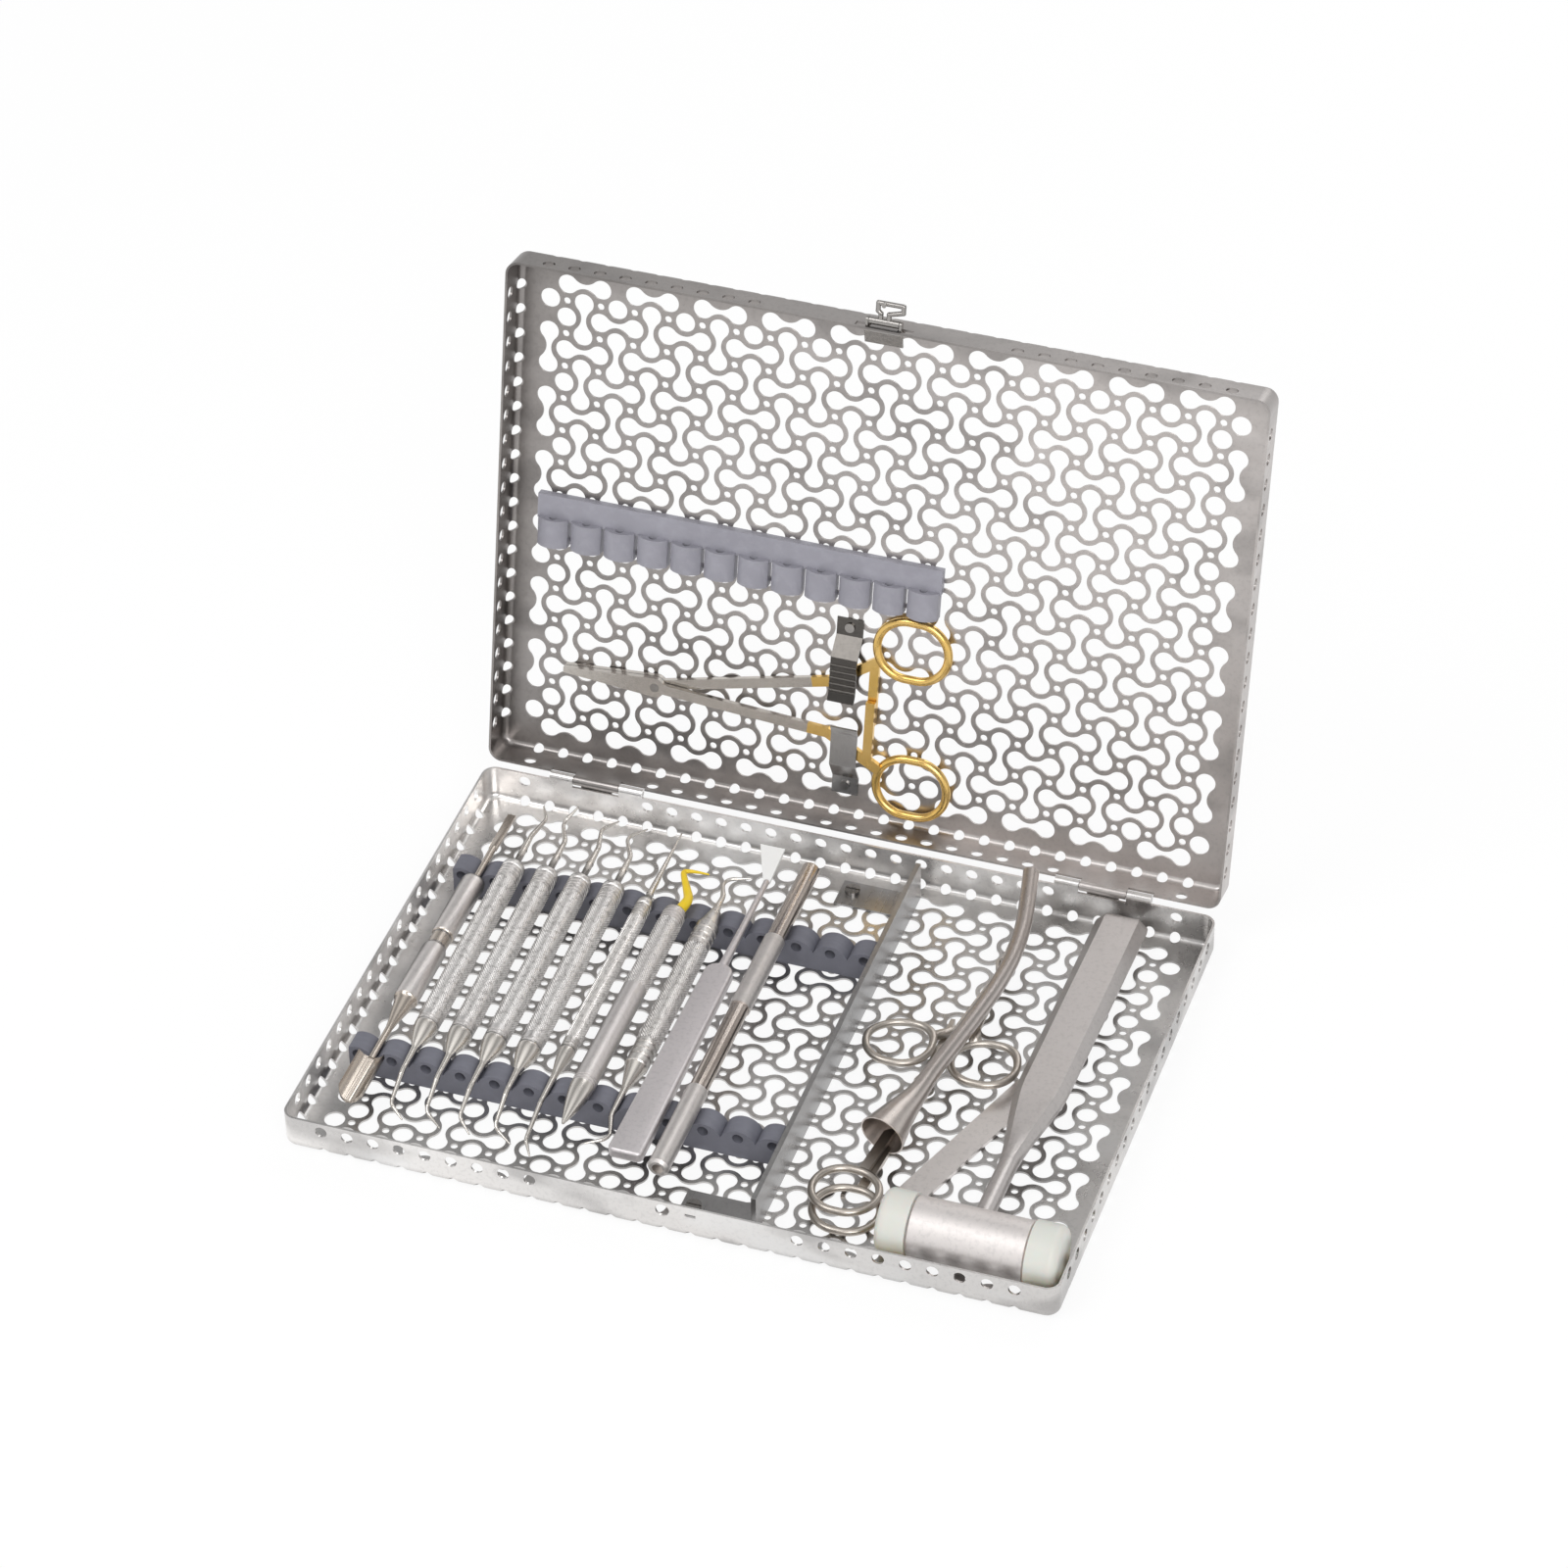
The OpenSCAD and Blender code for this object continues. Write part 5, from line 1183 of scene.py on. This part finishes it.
    def band(self, name: str, body: str, number: int, heights: tuple[float, float], radius: float,
             stretch: tuple[float, float], tree: bpy.types.NodeTree) -> None:
        """Sets one knurled band on a handle.

        Args:
            name: the piece's name.
            body: the body of the handle.
            number: its place from the left.
            heights: the heights of its axis over the rear and the front rail.
            radius: the handle's radius.
            stretch: the band's middle and length.
            tree: the knurl tree.
        """
        middle, length = stretch
        side = 2.0 * math.pi * radius / self.knurl_around
        grow(name, body, tree, {
            "Radius": (radius - self.knurl_sink) * MM, "Length": length * MM,
            "Along": round(length / (side * self.knurl_step)), "Around": self.knurl_around,
            "Depth": self.knurl_depth * MM, "Side": side * 0.5 * MM,
        }, KNURL_STEEL, self.seat(number, *heights, middle))

    def barrel(self, handle: Handle) -> list[tuple[float, float]]:
        """Profile of a handle: its taper, a few ridges at each end and a blunt rear.

        Args:
            handle: its sizes.

        Returns:
            Pairs of place along Y and radius.
        """
        radius, rise = handle.radius, handle.radius - handle.nose
        shares = [k / self.taper_steps for k in range(self.taper_steps + 1)]
        taper = [(handle.front - handle.cone * (1.0 - share),
                  handle.nose + rise * (1.0 - (1.0 - share) ** self.taper_bow)) for share in shares]
        few, more = self.ridge_counts
        front_gap, rear_gap = self.ridge_gaps
        low = radius - self.ridge_depth
        ridges = []
        for start, count in ((handle.front + front_gap, few),
                             (handle.rear - more * self.ridge_pitch - rear_gap, more)):
            for k in range(count):
                y = start + k * self.ridge_pitch
                end = y + self.ridge_cut
                ridges += [(y, radius), (y + self.ridge_slope, low),
                           (end, low), (end + self.ridge_slope, radius)]
        angles = [math.radians(d) for d in range(0, 91, self.blunt_step)]
        blunt = [(handle.rear + self.blunt_len * math.sin(a),
                  self.blunt_r + (radius - self.blunt_r) * math.cos(a)) for a in angles]
        end = handle.rear + self.blunt_len + self.lip
        return [*taper, *ridges, *blunt, (end, self.shank_r), (handle.tail, self.shank_r)]

    def double_ended(self, number: int, name: str, finish: Finish, heights: tuple[float, float],
                     profile: list[tuple[float, float]]) -> None:
        """Replaces a CAD instrument by one with a finer handle, with copies of its working ends.

        Args:
            number: its place from the left.
            name: its node and body.
            finish: its finish.
            heights: the heights of its axis over the rear and the front rail.
            profile: its handle's profile.
        """
        seat = self.seat(number, *heights, 0.0)
        ahead = (seat.to_3x3() @ Vector((0.0, 1.0, 0.0))).normalized()
        ends = []
        for y, way in ((profile[0][0] + self.overlap, -1.0), (profile[-1][0] - self.overlap, 1.0)):
            ends.append(cut_end(self.nodes[name], seat @ Vector((0.0, y * MM, 0.0)), ahead * way))
        Skin().turn(profile).piece(f"{name}_formed", name, STEEL_SLOT, finish, [name], seat, ends)

    def flat_outline(self, x: float, inset: float, z: float) -> list[Vector]:
        """Outline of the flat handle at one height, with rounded corners.

        Args:
            x: its middle.
            inset: how far the outline is drawn in.
            z: the height.

        Returns:
            The outline's points.
        """
        rear = (self.flat_rear_w / 2, self.flat_rear, self.flat_rear_r)
        front = (self.flat_front_w / 2, self.flat_front, self.flat_front_r)
        points = []
        for side_x, side_y, start in ((1, 1, 0), (-1, 1, 90), (-1, -1, 180), (1, -1, 270)):
            half, edge, corner = rear if side_y > 0 else front
            for degrees in range(start, start + 91, self.flat_corner_step):
                angle = math.radians(degrees)
                points.append(Vector((x + side_x * (half - corner) + (corner - inset) * math.cos(angle),
                                      edge - side_y * corner + (corner - inset) * math.sin(angle), z)))
        return points

    def flat_handle(self) -> None:
        """Replaces the chisel's handle by one with a squared front, a round rear end and a plain rod."""
        x = self.first + Row.CHISEL * self.pitch
        low, high, edge = self.flat_z, self.flat_z + self.flat_t, self.flat_edge_r
        bends = [(edge * (1 - math.sin(a)), edge * (1 - math.cos(a)))
                 for a in (math.radians(d) for d in range(0, 91, self.flat_edge_step))]
        rings = [self.flat_outline(x, inset, low + rise) for inset, rise in bends]
        rings += [self.flat_outline(x, inset, high - rise) for inset, rise in reversed(bends)]
        rod = [(x, y, (low + high) / 2, radius) for y, radius in self.rod]
        Skin().loft(rings).tube(rod).piece("chisel_handle_formed", "flat_chisel", STEEL_SLOT,
                                           SATIN_STEEL, ["chisel_handle"])

    def yellow_tip(self) -> None:
        """Replaces the probe's tip by a thicker one that leans, kinks and ends in a fine hook."""
        z = self.rest_height(self.thick_r)
        path = smooth_path([(*spot, z, r) for spot, r in self.tip_path], steps=5)
        Skin().tube(path, sides=16).piece("probe_tip_formed", "tipped_probe", "yellow_plastic",
                                          YELLOW_PLASTIC, ["probe_tip"], crease=60.0)

    def build(self) -> None:
        """Dresses the instruments, gives some of them finer forms and knurls their handles."""
        dress(self.nodes, ["scaler"], SHORT_STEEL)
        dress(self.nodes, ["bar_sleeves"], SLEEVE_STEEL)
        dress(self.nodes, ["bar_core"], CORE_STEEL)
        dress(self.nodes, ["chisel_blade"], WHITE_PLASTIC)
        self.flat_handle()
        self.yellow_tip()
        tree = knurl_tree()
        high, low = self.rest_height(self.thick_r), self.rest_height(self.front_rest_r)
        mid, shank = self.rest_height(self.rear_rest_r), self.rest_height(self.shank_r)
        for number in range(1, self.curettes + 1):
            name = f"curette_{number}"
            self.double_ended(number, name, CURETTE_STEEL, (high, low), self.barrel(self.curette))
            self.band(f"knurl_{name}", name, number, (high, low), self.thick_r, self.curette_band, tree)
        self.double_ended(Row.ELEVATOR, "elevator", ELEVATOR_STEEL, (shank, shank), list(self.sleeves))
        Skin().turn(self.barrel(self.probe)).piece(
            "probe_handle_formed", "tipped_probe", STEEL_SLOT, PROBE_STEEL, ["probe_handle"],
            self.seat(Row.PROBE, high, high, 0.0))
        self.double_ended(Row.FINE_PROBE, "fine_probe", SHORT_STEEL, (mid, shank), self.barrel(self.fine))
        for name, body, number, heights, radius, stretch in (
                ("knurl_fine_probe", "fine_probe", Row.FINE_PROBE, (mid, shank), self.fine.radius,
                 self.fine_band),
                ("knurl_scaler", "scaler", Row.SCALER, (mid, shank), self.thick_r, self.scaler_band),
                ("knurl_probe", "tipped_probe", Row.PROBE, (high, high), self.thick_r, self.probe_band)):
            self.band(name, body, number, heights, radius, stretch, tree)


@dataclass
class RightBay:
    """Mallet, suction tube, scissors, forceps and flat retractor.

    A grip station is its distance from the head, its width, half its thickness, its bevel and how flat
    it is, from 0 for round to 1. A tube station is a point and a radius. A bend station is a place along
    Y and how far the hidden part of the scissors moves over there.
    """

    nodes: dict[str, bpy.types.Object]
    head: tuple[float, float, float] = (105.2, -83.6, 12.8)
    grip_tilt: float = 2.0
    grip_turn: float = 0.5
    grip_steps: int = 4
    grip_undercut: float = 2.1
    grip_stations: tuple[tuple[float, float, float, float, float], ...] = (
        (8.0, 6.8, 3.4, 2.0, 0.0), (36.0, 6.8, 3.4, 2.0, 0.0), (42.0, 7.6, 3.55, 2.1, 0.25),
        (50.0, 9.8, 3.9, 2.2, 0.7), (60.0, 13.0, 4.4, 2.4, 1.0), (71.0, 16.6, 4.8, 2.6, 1.0),
        (77.0, 18.0, 4.8, 2.7, 1.0), (84.0, 18.4, 4.8, 2.8, 1.0), (100.0, 18.5, 4.8, 2.9, 1.0),
        (136.0, 18.9, 4.8, 3.1, 1.0), (167.0, 19.2, 4.8, 3.4, 1.0), (175.4, 19.2, 4.8, 3.4, 1.0),
        (177.6, 17.4, 4.0, 3.2, 1.0))
    tube_stations: tuple[tuple[float, float, float, float], ...] = (
        (72.3, 92.6, 23.6, 2.95), (74.8, 80.0, 21.2, 2.95), (76.9, 67.0, 19.0, 2.95),
        (77.5, 52.0, 17.3, 2.95), (76.1, 37.0, 16.0, 3.0), (73.2, 20.0, 15.1, 3.0),
        (70.1, 4.0, 14.4, 3.05), (67.5, -8.5, 13.7, 3.15), (65.2, -20.8, 12.6, 3.9),
        (62.3, -31.0, 11.5, 5.9), (59.6, -41.7, 10.2, 8.5))
    tube_wall: float = 0.55
    tube_steps: int = 6
    tube_sides: int = 32
    pivot_x: float = 67.2
    pivot_y: float = 58.0
    hole_reach: float = 1.4
    hole_play: float = 1.4
    bend_stations: tuple[tuple[float, float], ...] = (
        (-200.0, 0.0), (9.0, 0.0), (26.0, 3.6), (44.0, 5.6), (58.0, 6.2), (74.0, 5.6),
        (90.0, 4.4), (200.0, 4.4))

    def shift(self, y: float) -> float:
        """How far the hidden part of the scissors moves over to stay under the suction tube."""
        for (low, first), (high, second) in zip(self.bend_stations, self.bend_stations[1:]):
            if y <= high:
                t = (y - low) / (high - low)
                return first + (second - first) * t * t * (3.0 - 2.0 * t)
        return self.bend_stations[-1][1]

    def bent(self, name: str, body: str, finish: Finish, rigid_y: float | None = None,
             loose: float = 1.0) -> None:
        """Replaces a node of the scissors by a copy whose hidden part lies under the suction tube.

        Args:
            name: the node.
            body: its body.
            finish: its finish.
            rigid_y: the place along Y whose shift the whole node takes, or None to bend it.
            loose: how many times wider the hole for the screw is, which keeps the screw clear as it turns.
        """
        mesh = self.nodes[name].data.copy()
        for corner in mesh.vertices:
            arm = Vector((corner.co.x - self.pivot_x * MM, corner.co.y - self.pivot_y * MM))
            if arm.length < self.hole_reach * MM:
                corner.co.x += arm.x * (loose - 1.0)
                corner.co.y += arm.y * (loose - 1.0)
            corner.co.x += self.shift(corner.co.y / MM if rigid_y is None else rigid_y) * MM
        Skin().piece(f"{name}_formed", body, STEEL_SLOT, finish, [name], None, [mesh])

    def grip(self) -> None:
        """Replaces the mallet's handle by one with a round neck that widens quickly to a broad flat bar."""
        rings = []
        for along, wide, half_t, bevel, flatness in smooth_path(list(self.grip_stations), self.grip_steps):
            flat = min(1.0, max(0.0, flatness))
            half, under = wide / 2, bevel + self.grip_undercut * flat
            corners = [(half, half_t - bevel), (half - bevel, half_t), (bevel - half, half_t),
                       (-half, half_t - bevel), (-half, under - half_t), (under - half, -half_t),
                       (half - under, -half_t), (half, under - half_t)]
            ring = []
            for first, second in zip(corners, [*corners[1:], corners[0]]):
                for step in range(self.grip_steps):
                    edge = Vector(first).lerp(Vector(second), step / self.grip_steps)
                    spot = (edge.normalized() * half_t).lerp(edge, flat)
                    ring.append(Vector((spot.x, along, spot.y)))
            rings.append(ring)
        place = (Matrix.Translation(Vector(self.head) * MM)
                 @ Matrix.Rotation(math.radians(-self.grip_turn), 4, "Z")
                 @ Matrix.Rotation(math.radians(-self.grip_tilt), 4, "X"))
        Skin().loft(rings).piece("mallet_handle_formed", "mallet", STEEL_SLOT, GRIP_STEEL,
                                 ["mallet_handle"], place, crease=20.0)

    def suction(self) -> None:
        """Replaces the suction tube by one with a longer curve and a thin flared mouth."""
        path = smooth_path(list(self.tube_stations), self.tube_steps)
        outer = tube_rings(path, self.tube_sides)
        inner = tube_rings([(x, y, z, r - self.tube_wall) for x, y, z, r in path], self.tube_sides)
        Skin().loft([*outer, *reversed(inner)], loop=True).piece(
            "suction_tube_formed", "suction_tube", STEEL_SLOT, TUBE_STEEL, ["suction_tube"])

    def build(self) -> None:
        """Dresses the loose instruments of the right bay."""
        dress(self.nodes, ["mallet_head"], HEAD_STEEL)
        dress(self.nodes, ["mallet_cap_left", "mallet_cap_right"], NYLON)
        dress(self.nodes, ["retractor"], SPATULA_STEEL)
        dress(self.nodes, ["forceps_lower", "forceps_upper"], RING_STEEL)
        dress(self.nodes, ["forceps_screw"], FASTENER_STEEL)
        self.bent("scissors_left", "scissors", RING_STEEL)
        self.bent("scissors_right", "scissors_right", RING_STEEL, loose=self.hole_play)
        self.bent("scissors_screw", "scissors", FASTENER_STEEL, self.pivot_y)
        self.grip()
        self.suction()


@dataclass
class Studio:
    """Camera, lamps, world and floor, in metres and degrees.

    Metals mirror a room that is bright round the horizon, dimmer from roof_low up and bright again
    overhead. A lamp is its name, place, width and power.
    """

    azimuth: float = 19.28
    elevation: float = 39.70
    roll: float = -0.91
    aim: tuple[float, float, float] = (0.01132, 0.0, 0.12221)
    distance: float = 2.00224
    lens: float = 135.5
    sensor: float = 36.0
    far: float = 50.0
    sky: float = 0.62
    wall_top: float = 0.2
    roof_low: float = 0.68
    roof_high: float = 0.8
    roof: float = 0.32
    zenith: float = 1.2
    lamp_aim: tuple[float, float, float] = (0.0, 0.02, 0.05)
    floor_half: float = 6.0
    floor_z: float = -0.0004
    floor_grey: float = 0.94
    floor_glow: float = 0.88
    lamps: list[tuple[str, tuple[float, float, float], float, float]] = field(default_factory=lambda: [
        ("key", (-0.9, -0.9, 1.9), 1.1, 11.0),
        ("fill", (0.75, -1.5, 1.35), 1.3, 17.0),
        ("back", (0.3, 1.6, 1.3), 1.2, 8.0)])

    def camera(self) -> None:
        """Sets the camera at the photograph's angle."""
        a, e, r = (math.radians(v) for v in (self.azimuth, self.elevation, self.roll))
        ahead = Vector((-math.sin(a) * math.cos(e), math.cos(a) * math.cos(e), -math.sin(e)))
        side = Vector((math.cos(a), math.sin(a), 0.0))
        up = side.cross(ahead)
        right = math.cos(r) * side + math.sin(r) * up
        top = -math.sin(r) * side + math.cos(r) * up
        spot = Vector(self.aim) - ahead * self.distance
        data = bpy.data.cameras.new("camera")
        data.lens = self.lens
        data.sensor_width = self.sensor
        data.clip_end = self.far
        eye = bpy.data.objects.new("camera", data)
        turn = Matrix((right, top, -ahead)).transposed().to_4x4()
        eye.matrix_world = Matrix.Translation(spot) @ turn
        bpy.context.scene.collection.objects.link(eye)
        bpy.context.scene.camera = eye
        LOG.info("camera set")

    def light(self) -> None:
        """Sets large soft lamps and a pale world that the camera sees as white."""
        for name, spot, size, power in self.lamps:
            data = bpy.data.lights.new(name, "AREA")
            data.shape = "DISK"
            data.size = size
            data.energy = power
            lamp = bpy.data.objects.new(name, data)
            lamp.location = spot
            beam = Vector(self.lamp_aim) - Vector(spot)
            lamp.rotation_euler = beam.to_track_quat("-Z", "Y").to_euler()
            bpy.context.scene.collection.objects.link(lamp)
        world = bpy.data.worlds.new("world")
        bpy.context.scene.world = world
        world.use_nodes = True
        world.node_tree.nodes.clear()
        graph = Graph(world.node_tree)
        path = graph.raw("ShaderNodeLightPath")
        seen = Signal(graph, path.outputs["Is Camera Ray"]).at_least(
            Signal(graph, path.outputs["Is Transmission Ray"]))
        mirrored = Signal(graph, path.outputs["Is Glossy Ray"])
        around = graph.node("ShaderNodeTexCoord", out="Generated")
        rise = graph.node("ShaderNodeSeparateXYZ", None, {0: around}, "Z")
        room = graph.steps(rise, [(0.0, 1.0), (self.wall_top, 1.0), (self.roof_low, self.roof),
                                  (self.roof_high, self.roof), (1.0, self.zenith)])
        lit = mirrored * room + (1.0 - mirrored) * self.sky
        shaft = seen + (1.0 - seen) * lit
        back = graph.raw("ShaderNodeBackground", None, {"Color": (1.0, 1.0, 1.0, 1.0), "Strength": shaft})
        graph.raw("ShaderNodeOutputWorld", None, {"Surface": back.outputs[0]})
        LOG.info("lamps set")

    def floor(self) -> None:
        """Lays a white floor that keeps the object's shadow faintly."""
        mesh = bpy.data.meshes.new("floor")
        corners = [(x * self.floor_half, y * self.floor_half, self.floor_z)
                   for x, y in ((-1, -1), (1, -1), (1, 1), (-1, 1))]
        mesh.from_pydata(corners, [], [(0, 1, 2, 3)])
        floor = bpy.data.objects.new("floor", mesh)
        bpy.context.scene.collection.objects.link(floor)
        paint = bpy.data.materials.new("floor")
        paint.use_nodes = True
        paint.node_tree.nodes.clear()
        graph = Graph(paint.node_tree)
        path = graph.raw("ShaderNodeLightPath")
        plain = Signal(graph, path.outputs["Is Camera Ray"])
        plain = plain.at_least(Signal(graph, path.outputs["Is Glossy Ray"]))
        plain = plain.at_least(Signal(graph, path.outputs["Is Transmission Ray"]))
        glow = graph.raw("ShaderNodeEmission", None, {"Color": (1.0, 1.0, 1.0, 1.0), "Strength": 1.0})
        grey = (self.floor_grey, self.floor_grey, self.floor_grey, 1.0)
        matt = graph.raw("ShaderNodeBsdfDiffuse", None, {"Color": grey})
        mix = graph.raw("ShaderNodeMixShader", None,
                        {0: plain * self.floor_glow, 1: matt.outputs[0], 2: glow.outputs[0]})
        graph.raw("ShaderNodeOutputMaterial", None, {"Surface": mix.outputs[0]})
        mesh.materials.append(paint)

    def build(self) -> None:
        """Sets up camera, lamps and floor."""
        bpy.context.scene.view_settings.view_transform = "Standard"
        self.camera()
        self.light()
        self.floor()


def main() -> None:
    """Builds the studio and every sub-assembly in order."""
    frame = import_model()
    nodes = frame["nodes"]
    Studio().build()
    for kind in (Trays, Rails, Clips, NeedleHolder, HandInstruments, RightBay):
        kind(nodes).build()
        LOG.info("%s done", kind.__name__)


if __name__ == "__main__":
    main()
